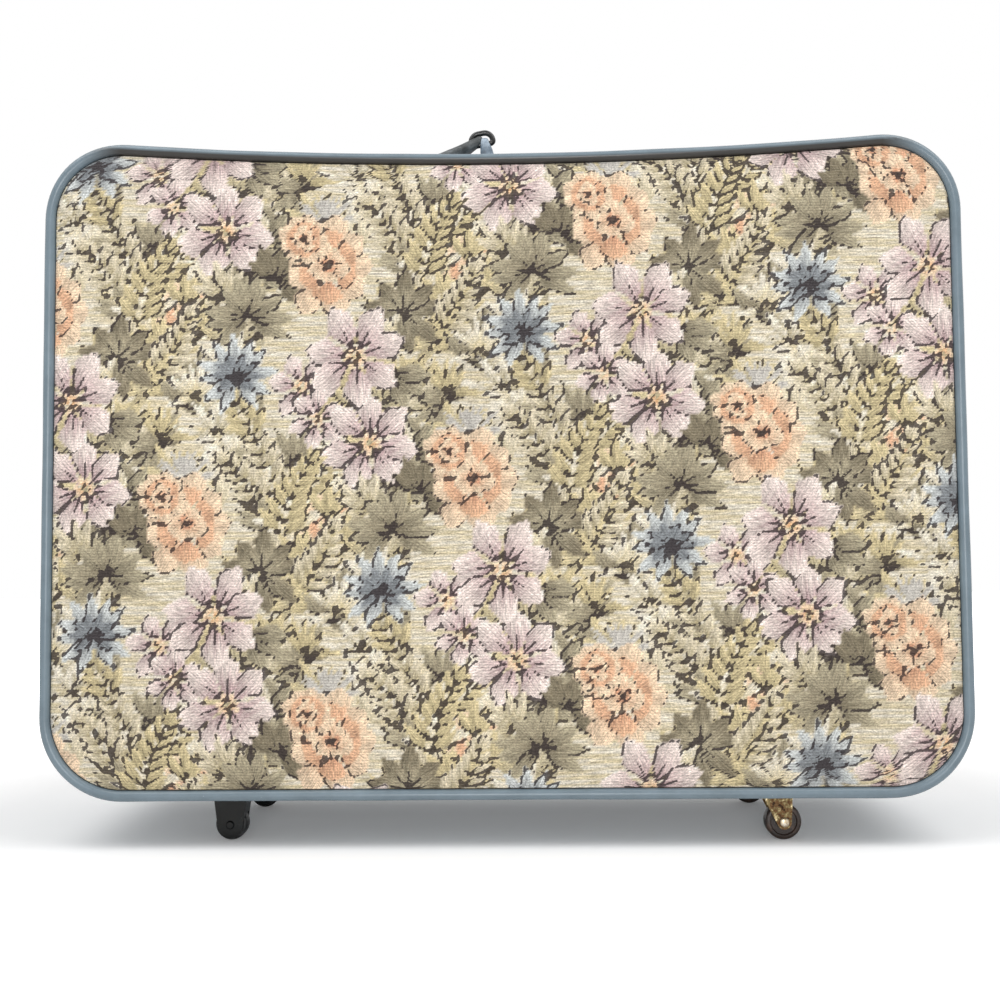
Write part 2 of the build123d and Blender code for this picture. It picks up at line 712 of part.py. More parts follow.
# Swivel casters: plated steel plate, washer, fork and kingpin, with a dark moulded wheel
washer_top_z = base_seat_z - plate_thickness
fork_top_z = washer_top_z - washer_thickness - 2 * running_clearance
leg_y = wheel_width / 2 + fork_gap
fork_half_width = leg_y + fork_thickness
fork_reach = caster_trail + fork_tip_radius + 1
leg_length = fork_reach + fork_half_width - 1
kingpin_head_z = fork_top_z - fork_thickness - 2 * running_clearance
for place, caster_y in (("front", -caster_depth), ("back", caster_depth)):
    with BuildPart() as caster_plate:
        with BuildSketch(Plane.XY.offset(washer_top_z)):
            with Locations((caster_swivel_x, caster_y)):
                RectangleRounded(plate_length, plate_width, 3)
                Circle(kingpin_diameter / 2 + touch_gap / 2, mode=Mode.SUBTRACT)
        extrude(amount=plate_thickness)
        rivet_holes(wheel_rivet_spots, washer_top_z - 1, base_seat_z + 1, rivet_diameter)
    save(caster_plate.part, f"caster_plate_{place}")

    with BuildPart() as caster_washer:
        with BuildSketch(Plane.XY.offset(washer_top_z)):
            with Locations((caster_swivel_x, caster_y)):
                Circle(washer_radius)
                Circle(kingpin_diameter / 2 + touch_gap / 2, mode=Mode.SUBTRACT)
        extrude(amount=-washer_thickness)
    save(caster_washer.part, f"caster_washer_{place}")

    with BuildPart() as caster_kingpin:
        with Locations((caster_swivel_x, caster_y, base_seat_z)):
            Cylinder(
                kingpin_diameter / 2,
                base_seat_z - kingpin_head_z,
                align=(Align.CENTER, Align.CENTER, Align.MAX),
            )
        with Locations(Location((caster_swivel_x, caster_y, kingpin_head_z), (180, 0, 0))):
            Cone(0.8 * kingpin_diameter, 0.5 * kingpin_diameter, 1.4, align=(Align.CENTER, Align.CENTER, Align.MIN))
    save(caster_kingpin.part, f"caster_kingpin_{place}")

    with BuildPart() as caster_fork:
        with BuildSketch(Plane.XY.offset(fork_top_z)):
            with Locations((caster_swivel_x, caster_y)):
                Circle(fork_half_width + 1)
                Rectangle(fork_reach, 2 * fork_half_width, align=(Align.MIN, Align.CENTER))
                Circle(kingpin_diameter / 2 + running_clearance, mode=Mode.SUBTRACT)
        extrude(amount=-fork_thickness)
        for side in (-1, 1):
            with BuildSketch(front_plane(caster_y + side * (leg_y + fork_thickness / 2))):
                with Locations((caster_swivel_x - fork_half_width + 1, fork_top_z)):
                    Rectangle(leg_length, fork_shoulder, align=(Align.MIN, Align.MAX))
                with Locations((wheel_offset, caster_radius)):
                    Circle(fork_tip_radius)
                make_hull()
                with Locations((wheel_offset, caster_radius)):
                    Circle(axle_diameter / 2 + touch_gap / 2, mode=Mode.SUBTRACT)
            extrude(amount=fork_thickness / 2, both=True)
    save(caster_fork.part, f"caster_fork_{place}")

    with BuildPart() as caster_axle:
        riveted_pin(wheel_offset, caster_y, caster_radius, 2 * fork_half_width + touch_gap)
    save(caster_axle.part, f"caster_axle_{place}")

    with BuildPart() as caster_wheel:
        wheel(wheel_offset, caster_y, caster_radius)
    save(caster_wheel.part, f"caster_wheel_{place}")

# Fixed wheels: black moulded housing with a flange, its axle and wheel
cheek_y = wheel_width / 2 + fork_gap
housing_half_depth = cheek_y + housing_wall
housing_floor_z = base_seat_z - housing_flange_thickness
for place, fixed_y in (("front", -housing_depth), ("back", housing_depth)):
    with BuildPart() as wheel_housing:
        with BuildSketch(Plane.XY.offset(base_seat_z)):
            with Locations((-wheel_offset, fixed_y)):
                RectangleRounded(housing_flange_length, housing_flange_width, 5)
        extrude(amount=-housing_flange_thickness)
        with BuildSketch(front_plane(fixed_y)):
            with Locations((-wheel_offset, housing_floor_z)):
                Rectangle(housing_width, 2, align=(Align.CENTER, Align.MAX))
            with Locations((-wheel_offset, fixed_radius)):
                Circle(cheek_radius)
            make_hull()
        extrude(amount=housing_half_depth, both=True)
        with BuildSketch(front_plane(fixed_y)):
            with Locations((-wheel_offset, fixed_radius)):
                Circle(fixed_radius + 1)
            with Locations((-wheel_offset, 0)):
                Rectangle(2 * fixed_radius + 2, fixed_radius, align=(Align.CENTER, Align.MIN))
        extrude(amount=cheek_y, both=True, mode=Mode.SUBTRACT)
        with Locations(Location((-wheel_offset, fixed_y, fixed_radius), (90, 0, 0))):
            Cylinder(axle_diameter / 2 + touch_gap / 2, 4 * housing_half_depth, mode=Mode.SUBTRACT)
        rivet_holes(wheel_rivet_spots, housing_floor_z - 1, base_seat_z + 1, rivet_diameter)
    save(wheel_housing.part, f"wheel_housing_{place}")

    with BuildPart() as fixed_axle:
        riveted_pin(-wheel_offset, fixed_y, fixed_radius, 2 * housing_half_depth + touch_gap)
    save(fixed_axle.part, f"fixed_axle_{place}")

    with BuildPart() as fixed_wheel:
        wheel(-wheel_offset, fixed_y, fixed_radius)
    save(fixed_wheel.part, f"fixed_wheel_{place}")

# Wheel rivets: heads under the plates and flanges, shanks up through the base board
board_top_z = base_board_z + base_board_thickness
for rivets_name, spots, head_top_z in (
    ("caster_rivets", caster_rivet_spots, base_seat_z - plate_thickness),
    ("housing_rivets", housing_rivet_spots, housing_floor_z),
):
    with BuildPart() as wheel_rivets:
        with BuildSketch(Plane.XY.offset(head_top_z)) as shanks:
            with Locations(*spots):
                RegularPolygon(rivet_diameter / 2, rivet_sides)
        extrude(shanks.sketch, amount=board_top_z - head_top_z)
        with BuildSketch(Plane.XY.offset(head_top_z)) as heads:
            with Locations(*spots):
                RegularPolygon(rivet_head_radius, rivet_sides)
        extrude(heads.sketch, amount=-rivet_head_height)
    save(wheel_rivets.part, rivets_name)
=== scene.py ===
import bpy
import math
import numpy as np
from mathutils import Matrix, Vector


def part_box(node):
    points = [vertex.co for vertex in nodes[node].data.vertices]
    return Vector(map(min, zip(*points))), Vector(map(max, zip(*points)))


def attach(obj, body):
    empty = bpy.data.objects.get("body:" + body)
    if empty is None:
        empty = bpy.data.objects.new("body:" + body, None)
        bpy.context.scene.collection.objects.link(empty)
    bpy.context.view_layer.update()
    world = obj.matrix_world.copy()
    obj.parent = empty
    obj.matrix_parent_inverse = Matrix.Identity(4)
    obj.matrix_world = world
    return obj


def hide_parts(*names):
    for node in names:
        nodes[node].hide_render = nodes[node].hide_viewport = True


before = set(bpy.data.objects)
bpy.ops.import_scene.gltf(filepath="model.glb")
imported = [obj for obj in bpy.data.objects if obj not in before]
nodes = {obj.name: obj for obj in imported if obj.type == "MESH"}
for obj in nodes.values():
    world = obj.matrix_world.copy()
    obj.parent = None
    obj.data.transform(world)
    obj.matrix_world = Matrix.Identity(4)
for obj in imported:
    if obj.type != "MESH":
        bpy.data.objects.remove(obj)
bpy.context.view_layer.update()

# Camera: held in front of the case below its middle and tipped up, so the upright sides close
# in towards the top. It is rolled by less than half a degree, which lifts the right side.
camera_lens = 41.4
camera_place = (0.0119, -0.9799, 0.2189)
camera_yaw = 0.0156
camera_pitch = 0.0516
camera_roll = -0.0079
bpy.ops.object.select_all(action="DESELECT")
bpy.ops.object.camera_add()
camera = bpy.context.object
camera.data.sensor_width = 36.0
camera.data.lens = camera_lens
camera.matrix_world = (
    Matrix.Translation(camera_place)
    @ Matrix.Rotation(camera_yaw, 4, "Z")
    @ Matrix.Rotation(math.pi / 2 + camera_pitch, 4, "X")
    @ Matrix.Rotation(camera_roll, 4, "Z")
)
bpy.context.scene.camera = camera
bpy.context.scene.view_settings.view_transform = "Standard"


def srgb(code):
    """Linear colour of an sRGB hex code."""
    parts = [int(code[i : i + 2], 16) / 255 for i in (1, 3, 5)]
    linear = [c / 12.92 if c <= 0.04045 else ((c + 0.055) / 1.055) ** 2.4 for c in parts]
    return (*linear, 1.0)


def set_inputs(material, node, links):
    """Gives each named input of a node a value or the socket of another node."""
    for name, value in links.items():
        if isinstance(value, bpy.types.NodeSocket):
            material.node_tree.links.new(value, node.inputs[name])
        else:
            node.inputs[name].default_value = value


def add_node(material, kind, links, **settings):
    """One new node with its settings and inputs."""
    made = material.node_tree.nodes.new(kind)
    for name, value in settings.items():
        setattr(made, name, value)
    set_inputs(material, made, links)
    return made


def new_material(name):
    """A material, its shader and the socket that gives the place on the object."""
    made = bpy.data.materials.new(name)
    made.use_nodes = True
    place = add_node(made, "ShaderNodeTexCoord", {}).outputs["Object"]
    return made, made.node_tree.nodes["Principled BSDF"], place


# Studio: a white floor that keeps the soft shadow and runs out to white, in a white surround. Two
# large soft panels stand high on the left and right, and a small one fills from the front.
bpy.ops.object.select_all(action="DESELECT")
bpy.ops.mesh.primitive_plane_add(size=12.0, location=(0, 0, 0))
floor = bpy.context.object
floor.name = "studio_floor"
floor_paint, floor_shader, floor_place = new_material("matt_white_floor")
floor_path = add_node(floor_paint, "ShaderNodeLightPath", {})
floor_reach = add_node(floor_paint, "ShaderNodeVectorMath", {0: floor_place}, operation="LENGTH")
floor_white = add_node(
    floor_paint, "ShaderNodeMapRange",
    {"Value": floor_reach.outputs["Value"], "From Min": 0.45, "From Max": 1.3,
     "To Min": 0.1, "To Max": 1.0},
)
floor_lift = add_node(
    floor_paint, "ShaderNodeMath",
    {0: floor_path.outputs["Is Camera Ray"], 1: floor_white.outputs[0]},
    operation="MULTIPLY",
)
set_inputs(floor_paint, floor_shader, {
    "Base Color": srgb("#f6f6f6"), "Roughness": 0.9,
    "Emission Color": (1, 1, 1, 1), "Emission Strength": floor_lift.outputs[0],
})
floor.data.materials.append(floor_paint)

world = bpy.data.worlds.new("white_room")
bpy.context.scene.world = world
world.use_nodes = True
world.node_tree.nodes.clear()
path = add_node(world, "ShaderNodeLightPath", {})
seen = path.outputs["Is Camera Ray"]
for ray in ("Is Glossy Ray", "Is Transmission Ray"):
    both = add_node(world, "ShaderNodeMath", {0: seen, 1: path.outputs[ray]}, operation="MAXIMUM")
    seen = both.outputs[0]
room = add_node(world, "ShaderNodeBackground", {"Color": (1, 1, 1, 1), "Strength": 0.56})
white = add_node(world, "ShaderNodeBackground", {"Color": (1, 1, 1, 1), "Strength": 1.0})
either = add_node(
    world, "ShaderNodeMixShader",
    {0: seen, 1: room.outputs[0], 2: white.outputs[0]},
)
add_node(world, "ShaderNodeOutputWorld", {"Surface": either.outputs[0]})
for lamp_name, place, aim, size, power in (
    ("high_left_panel", (-1.1, -0.8, 2.3), (0.0, 0.0, 0.3), 1.6, 23.0),
    ("high_right_panel", (1.2, -0.7, 2.3), (0.0, 0.0, 0.3), 1.6, 24.0),
    ("front_fill_panel", (0.0, -2.4, 0.45), (0.0, 0.0, 0.2), 0.8, 18.0),
):
    lamp = bpy.data.lights.new(lamp_name, "AREA")
    lamp.size = size
    lamp.energy = power
    lamp_object = bpy.data.objects.new(lamp_name, lamp)
    bpy.context.collection.objects.link(lamp_object)
    reach = Matrix.Translation(place).translation
    lamp_object.location = place
    lamp_object.rotation_euler = (
        (Matrix.Translation(aim).translation - reach).to_track_quat("-Z", "Y").to_euler()
    )


# Outline of the case: straight sides, rounded corners and a top edge that sags in the middle.
# Every soft piece follows it at its own inset. Sizes in millimetres.
half_width = 356.0
base_z = 37.0
top_z = 551.0
corner_radius = 64.0
top_sag = 16.0
sag_radius = (half_width**2 + top_sag**2) / (2 * top_sag)


def outline(inset, arc_steps=20, side_steps=60, top_steps=90):
    """Points (x, z) anticlockwise round the case seen from the front, at an inset."""
    radius = corner_radius - inset
    side = half_width - inset
    low = base_z + inset
    high = top_z - inset
    points = []
    for centre_x, centre_z, first in (
        (side - radius, low + radius, -90),
        (side - radius, high - radius, 0),
        (radius - side, high - radius, 90),
        (radius - side, low + radius, 180),
    ):
        for step in range(arc_steps + 1):
            angle = math.radians(first + 90 * step / arc_steps)
            points.append((centre_x + radius * math.cos(angle), centre_z + radius * math.sin(angle)))
        here = points[-1]
        there = {
            -90: (side, high - radius),
            0: (radius - side, high),
            90: (-side, low + radius),
            180: (side - radius, low),
        }[first]
        steps = side_steps if first in (-90, 90) else top_steps
        for step in range(1, steps):
            share = step / steps
            points.append(tuple(a + share * (b - a) for a, b in zip(here, there)))
    points = np.array(points)
    height_share = np.clip((points[:, 1] - low) / (high - low), 0, 1)
    dip = -top_sag + sag_radius - np.sqrt(sag_radius**2 - points[:, 0] ** 2)
    points[:, 1] += dip * height_share**3
    return points


# Front and back faces: jacquard tapestry, a cotton weft figured with flowers over a cream
# ground, quilted to thin foam. The cloth crowns a few millimetres above its corded seam.
cloth_inset = 8.7
cloth_columns = 350
corner_rows = 38
side_rows = 190
repeat_a = (220.7, 32.9)
repeat_b = (-109.1, -198.9)
first_bloom = (-0.7, 209.8)
rng = np.random.default_rng(5)

weft = {name: np.array(srgb(code)[:3]) for name, code in {
    "ground": "#dfd3b9",
    "white": "#e9e1d0",
    "straw": "#d6c69c",
    "moss": "#ada07c",
    "lilac_deep": "#b8999b",
    "lilac_pale": "#ecdcd4",
    "peach": "#e2b593",
    "peach_pale": "#ecd2b4",
    "peach_deep": "#d39b7c",
    "olive": "#857b66",
    "olive_pale": "#b0a68c",
    "grey_blue": "#85898c",
    "grey_blue_pale": "#cccfcd",
    "sky": "#c2bdb5",
    "orange": "#dba775",
}.items()}

# Each blade is one woven petal, leaflet or spike, from its root: offset from the first bloom,
# angle, length, half width, place of its widest part, root and tip colours, rim and vein inks.
blades = []


def add_fan(
    x, z, count, first, spread, length, width, widest, root, tip, rim, vein, wobble=0.0, start=0.0
):
    """Blades that fan out from one root, some of them a little longer than others."""
    for step in range(count):
        share = step / (count - 1) - 0.5 if count > 1 else 0.0
        angle = math.radians(first + spread * share + wobble * float(rng.uniform(-1, 1)))
        reach = length * (1 + 0.012 * wobble * float(rng.uniform(-1, 1)))
        blades.append((
            x + start * math.cos(angle), z + start * math.sin(angle), angle, reach, width, widest,
            weft[root], weft[tip], rim, vein,
        ))


def add_plume(x, z, angle, length, leaf, count, root, tip, bend):
    """Feathery frond: a bent spine with leaflets that lean forward on both sides."""
    for step in range(count):
        share = step / (count - 1)
        lean = math.radians(angle + bend * share)
        px = x + length * share * math.cos(math.radians(angle + bend * share * 0.5))
        pz = z + length * share * math.sin(math.radians(angle + bend * share * 0.5))
        size = leaf * (1.05 - 0.4 * share)
        for side in (-1, 1):
            blades.append((
                px, pz, lean + side * math.radians(46 - 20 * share), size, 0.17 * size, 0.5,
                weft[root], weft[tip], 0.62, 0.3,
            ))
    blades.append((px, pz, lean, leaf * 0.7, 0.15 * leaf, 0.5, weft[root], weft[tip], 0.75, 0.3))


def add_carnation(x, z, size, tall):
    """Ruffled double flower: rings of round lobes, darker in the folds."""
    for ring, count, colours in ((0.74, 9, ("peach", "peach_pale")), (0.42, 6, ("peach_deep", "peach"))):
        for step in range(count):
            angle = 2 * math.pi * (step + 0.5 * (ring < 0.5)) / count
            reach = size * ring * float(rng.uniform(0.9, 1.1))
            blades.append((
                x + 0.12 * size * math.cos(angle), z + tall * 0.12 * size * math.sin(angle),
                angle, reach * (1.0 if abs(math.cos(angle)) > 0.7 else tall) + 0.2 * size,
                0.34 * size, 0.7, weft[colours[0]], weft[colours[1]], 0.75, 0.6,
            ))
    add_fan(x, z, 7, 90, 300, 0.5 * size, 0.24 * size, 0.6, "peach", "peach_pale", 0.6, 0.7, 20)
    add_fan(x, z, 4, 90, 300, 0.2 * size, 0.08 * size, 0.6, "olive", "peach_deep", 0.9, 1.0, 20)


# grass and leaves all over the ground, but for the pale clearing beside the blooms
for across in range(9):
    for down in range(7):
        x = (across / 9) * repeat_a[0] + (down / 7) * repeat_b[0] + 40 + float(rng.uniform(-9, 9))
        z = (across / 9) * repeat_a[1] + (down / 7) * repeat_b[1] + 60 + float(rng.uniform(-9, 9))
        lean = float(rng.uniform(40, 140))
        pair = (("moss", "straw"), ("olive_pale", "straw"), ("moss", "ground"), ("olive", "olive_pale"),
                ("straw", "white"))[int(rng.integers(5))]
        if abs(x - 100) < 26 and abs(z + 30) < 24:
            continue
        add_fan(x, z, 7, lean, 150, 31, 4.2, 0.5, *pair, 0.62, 0.4, 12)
# pale blue tufts and grass in the clearing
add_fan(88, -62, 13, 90, 170, 26, 2.0, 0.6, "sky", "sky", 0.0, 0.2, 8)
add_fan(70, -30, 7, 60, 120, 30, 2.4, 0.5, "moss", "straw", 0.1, 0.3, 14)
add_fan(112, -28, 8, 100, 150, 34, 2.4, 0.5, "moss", "white", 0.1, 0.3, 14)
add_fan(96, 2, 9, 80, 200, 30, 3.0, 0.5, "straw", "white", 0.1, 0.2, 16)
# olive leaves in shade
add_fan(-84, 32, 9, 100, 250, 36, 6.5, 0.5, "olive", "olive_pale", 0.5, 0.6, 10)
add_fan(-62, 62, 6, 60, 200, 30, 6.0, 0.5, "olive", "olive", 0.5, 0.6, 12)
add_fan(36, 34, 7, 50, 240, 34, 7.5, 0.5, "olive_pale", "olive", 0.5, 0.7, 10)
add_fan(30, -96, 8, -60, 250, 36, 7.0, 0.5, "olive", "olive_pale", 0.7, 0.7, 10)
add_fan(-2, -104, 5, -100, 110, 32, 6.5, 0.5, "olive", "olive", 0.7, 0.7, 10)
# feathery fronds
add_plume(-58, -128, 96, 74, 29, 8, "moss", "ground", 26)
add_plume(-50, -122, 62, 52, 25, 6, "moss", "straw", -22)
add_plume(52, 62, 84, 56, 27, 7, "moss", "straw", -30)
add_plume(66, 22, 48, 46, 25, 6, "moss", "ground", 22)
add_plume(-78, -60, 118, 36, 23, 5, "moss", "straw", 14)
add_plume(34, 88, 120, 36, 24, 5, "moss", "ground", 18)
# blue-grey thistle leaves
add_fan(-92, -14, 11, 96, 300, 33, 5.2, 0.5, "grey_blue", "grey_blue_pale", 0.8, 0.8, 6)
add_fan(-92, -14, 8, 90, 260, 20, 4.2, 0.5, "grey_blue", "grey_blue", 0.9, 0.7, 6)
# carnations
add_carnation(-21, 71, 33, 1.25)
add_carnation(-40, 92, 19, 1.0)
add_carnation(-20, -128, 23, 1.0)
# olive leaves over them, next to the blooms
add_fan(28, -12, 3, -38, 60, 32, 8.0, 0.5, "olive", "olive_pale", 0.9, 0.8, 4)
add_fan(44, -74, 3, 20, 70, 28, 7.0, 0.5, "olive", "olive_pale", 0.9, 0.8, 4)
# lilac blooms: the small side ones lie behind the two open ones
for x, z, size, count, turn in (
    (-42, -22, 26, 6, 20), (-30, -48, 23, 6, 50), (11, -67, 37, 7, 66), (0, 0, 38, 7, 40),
):
    add_fan(x, z, count, turn + 180, 360 - 360 / count, size, 0.29 * size, 0.6, "lilac_deep",
            "lilac_pale", 0.85, 0.9, 7, 0.08 * size)
    add_fan(x, z, 7, turn, 310, 0.24 * size, 0.07 * size, 0.7, "orange", "peach_pale", 0.6, 0.0, 9)


def weave_pattern(x, z, shift):
    """Colour and ink of the woven figure at points of the cloth, in millimetres."""
    noise = np.random.default_rng(11)
    count = len(x)
    colour = np.tile(weft["ground"], (count, 1))
    ink = np.zeros(count)
    lay = np.stack([x, z + 3 * np.sin(x * 0.05), 0 * x], 1)
    streak = np.sin(z * 1.3 + 4 * np.sin(x * 0.03 + z * 0.02)) + 0.8 * np.sin(z * 0.41 + x * 0.07)
    colour += np.clip(streak, 0, 1)[:, None] * (weft["straw"] - weft["ground"]) * 0.6
    colour += np.clip(-streak, 0, 1)[:, None] * (weft["white"] - weft["ground"])
    for across in range(-4, 5):
        for down in range(-4, 5):
            cx = first_bloom[0] + shift[0] + across * repeat_a[0] + down * repeat_b[0]
            cz = first_bloom[1] + shift[1] + across * repeat_a[1] + down * repeat_b[1]
            if not (-500 < cx < 500 and -110 < cz < 700):
                continue
            near = np.nonzero((abs(x - cx) < 150) & (abs(z - cz) < 170))[0]
            if len(near) == 0:
                continue
            nx = x[near] - cx
            nz = z[near] - cz
            for number, blade in enumerate(blades):
                rx, rz, angle, length, width, widest, root, tip, rim, vein = blade
                dx = nx - rx
                dz = nz - rz
                along = dx * math.cos(angle) + dz * math.sin(angle)
                share = along / length
                inside = (share > 0) & (share < 1)
                across_blade = dz * math.cos(angle) - dx * math.sin(angle)
                power = math.log(0.5) / math.log(widest)
                swell = np.zeros_like(share)
                swell[inside] = np.sin(math.pi * share[inside] ** power) ** 1.1
                ruffle = 1 + 0.1 * np.sin(share * 15 + angle * 3) * np.sign(across_blade)
                edge = width * swell * ruffle - abs(across_blade)
                hit = np.nonzero(inside & (edge > 0))[0]
                if len(hit) == 0:
                    continue
                s = share[hit]
                t = across_blade[hit]
                rim_gap = edge[hit]
                ripple = 0.2 * np.sin(t * 2.2 + s * 2 + angle * 5)
                mix = np.clip(s * 1.5 + ripple - 0.1, 0, 1)[:, None]
                light = 1.04 + 0.2 * np.exp(-rim_gap / 1.4) - 0.3 * np.exp(-s * 4)
                light -= 0.3 * np.clip(-t * np.sign(math.cos(angle + 0.9)) / width, -0.3, 1)
                place = near[hit]
                colour[place] = (root * (1 - mix) + tip * mix) * light[:, None]
                shaded = t * math.cos(angle + 0.9) < 0.3 * width
                broken = np.sin(s * 4.5 + angle * 7 + cx) > 1 - 2 * rim
                line = np.clip(1.3 - rim_gap / 2.1, 0, 1) * (shaded & broken)
                seam = np.clip(1 - abs(t) / 1.7, 0, 1) * (s < 0.12 + 0.4 * vein) * (vein > 0)
                ink[place] = np.maximum(line, seam)
                lay[place] = np.stack([s * length, t, np.full(len(s), 37.0 * number)], 1)
    tone = 1 + 0.05 * (noise.random(count) - 0.5)
    wash = 1 + 0.04 * np.sin(x * 0.011 + 1.3) * np.sin(z * 0.013)
    colour = np.clip(colour * (tone * wash)[:, None], 0, 1)
    return colour, ink, lay


# Tapestry cloth: figured jacquard, dull and dry. The ribs are 2 mm apart and the threads 1 to
# 1.6 mm, coarser than the real ones so that they show. Dark outline threads lie where ink is high.
cloth, cloth_shader, cloth_place = new_material("jacquard_tapestry")
figure = add_node(cloth, "ShaderNodeAttribute", {}, attribute_name="weave")
ink_thread = add_node(cloth, "ShaderNodeAttribute", {}, attribute_name="ink")
thread_grid = add_node(
    cloth, "ShaderNodeMapping",
    {"Vector": cloth_place, "Scale": (620.0, 1.0, 960.0)},
)
thread_noise = add_node(
    cloth, "ShaderNodeTexNoise",
    {"Vector": thread_grid.outputs[0], "Scale": 1.0, "Detail": 1.0, "Roughness": 0.6},
).outputs["Fac"]
rib_line = add_node(
    cloth, "ShaderNodeTexWave",
    {"Vector": cloth_place, "Scale": 145.0, "Distortion": 1.4, "Detail": 2.0, "Detail Scale": 2.0},
    wave_type="BANDS", bands_direction="Z", wave_profile="SIN",
)
torn_ink = add_node(
    cloth, "ShaderNodeMath",
    {0: thread_noise, 1: 0.6, 2: 0.17},
    operation="MULTIPLY_ADD",
)
float_lay = add_node(cloth, "ShaderNodeAttribute", {}, attribute_name="lay")
float_grid = add_node(
    cloth, "ShaderNodeMapping",
    {"Vector": float_lay.outputs["Vector"], "Scale": (0.11, 0.85, 1.0)},
)
float_noise = add_node(
    cloth, "ShaderNodeTexNoise",
    {"Vector": float_grid.outputs[0], "Scale": 1.0, "Detail": 3.0, "Roughness": 0.65},
).outputs["Fac"]
float_tone = add_node(
    cloth, "ShaderNodeMapRange",
    {"Value": float_noise, "From Min": 0.34, "From Max": 0.66, "To Min": 0.56, "To Max": 1.2},
)
ink_level = add_node(
    cloth, "ShaderNodeMath",
    {0: ink_thread.outputs["Fac"], 1: torn_ink.outputs[0]},
    operation="SUBTRACT",
)
ink_mask = add_node(
    cloth, "ShaderNodeMapRange",
    {"Value": ink_level.outputs[0], "From Min": -0.05, "From Max": 0.1, "To Max": 0.88},
    interpolation_type="SMOOTHSTEP",
)
inked = add_node(
    cloth, "ShaderNodeMix",
    {"Factor": ink_mask.outputs[0], "A": figure.outputs["Color"], "B": srgb("#372e30")},
    data_type="RGBA",
)
thread_tone = add_node(
    cloth, "ShaderNodeMapRange",
    {"Value": thread_noise, "From Min": 0.3, "From Max": 0.72, "To Min": 0.64, "To Max": 1.16},
)
rib_tone = add_node(
    cloth, "ShaderNodeMapRange",
    {"Value": rib_line.outputs["Fac"], "To Min": 0.86, "To Max": 1.06},
)
tone = add_node(
    cloth, "ShaderNodeMath",
    {0: thread_tone.outputs[0], 1: rib_tone.outputs[0]},
    operation="MULTIPLY",
)
tone = add_node(
    cloth, "ShaderNodeMath",
    {0: tone.outputs[0], 1: float_tone.outputs[0]},
    operation="MULTIPLY",
)
toned = add_node(
    cloth, "ShaderNodeVectorMath",
    {0: inked.outputs["Result"], "Scale": tone.outputs[0]},
    operation="SCALE",
)
cloth_relief = add_node(
    cloth, "ShaderNodeMath",
    {0: rib_line.outputs["Fac"], 1: thread_noise},
    operation="ADD",
)
cloth_bump = add_node(
    cloth, "ShaderNodeBump",
    {"Height": cloth_relief.outputs[0], "Strength": 0.55, "Distance": 0.0006},
)
set_inputs(cloth, cloth_shader, {
    "Base Color": toned.outputs[0], "Normal": cloth_bump.outputs[0], "Roughness": 0.92,
    "Specular IOR Level": 0.2, "Sheen Weight": 0.12, "Sheen Roughness": 0.5,
})


def points_of(piece):
    """Points of a piece's mesh, one row each."""
    flat = np.empty(len(piece.data.vertices) * 3)
    piece.data.vertices.foreach_get("co", flat)
    return flat.reshape(-1, 3)


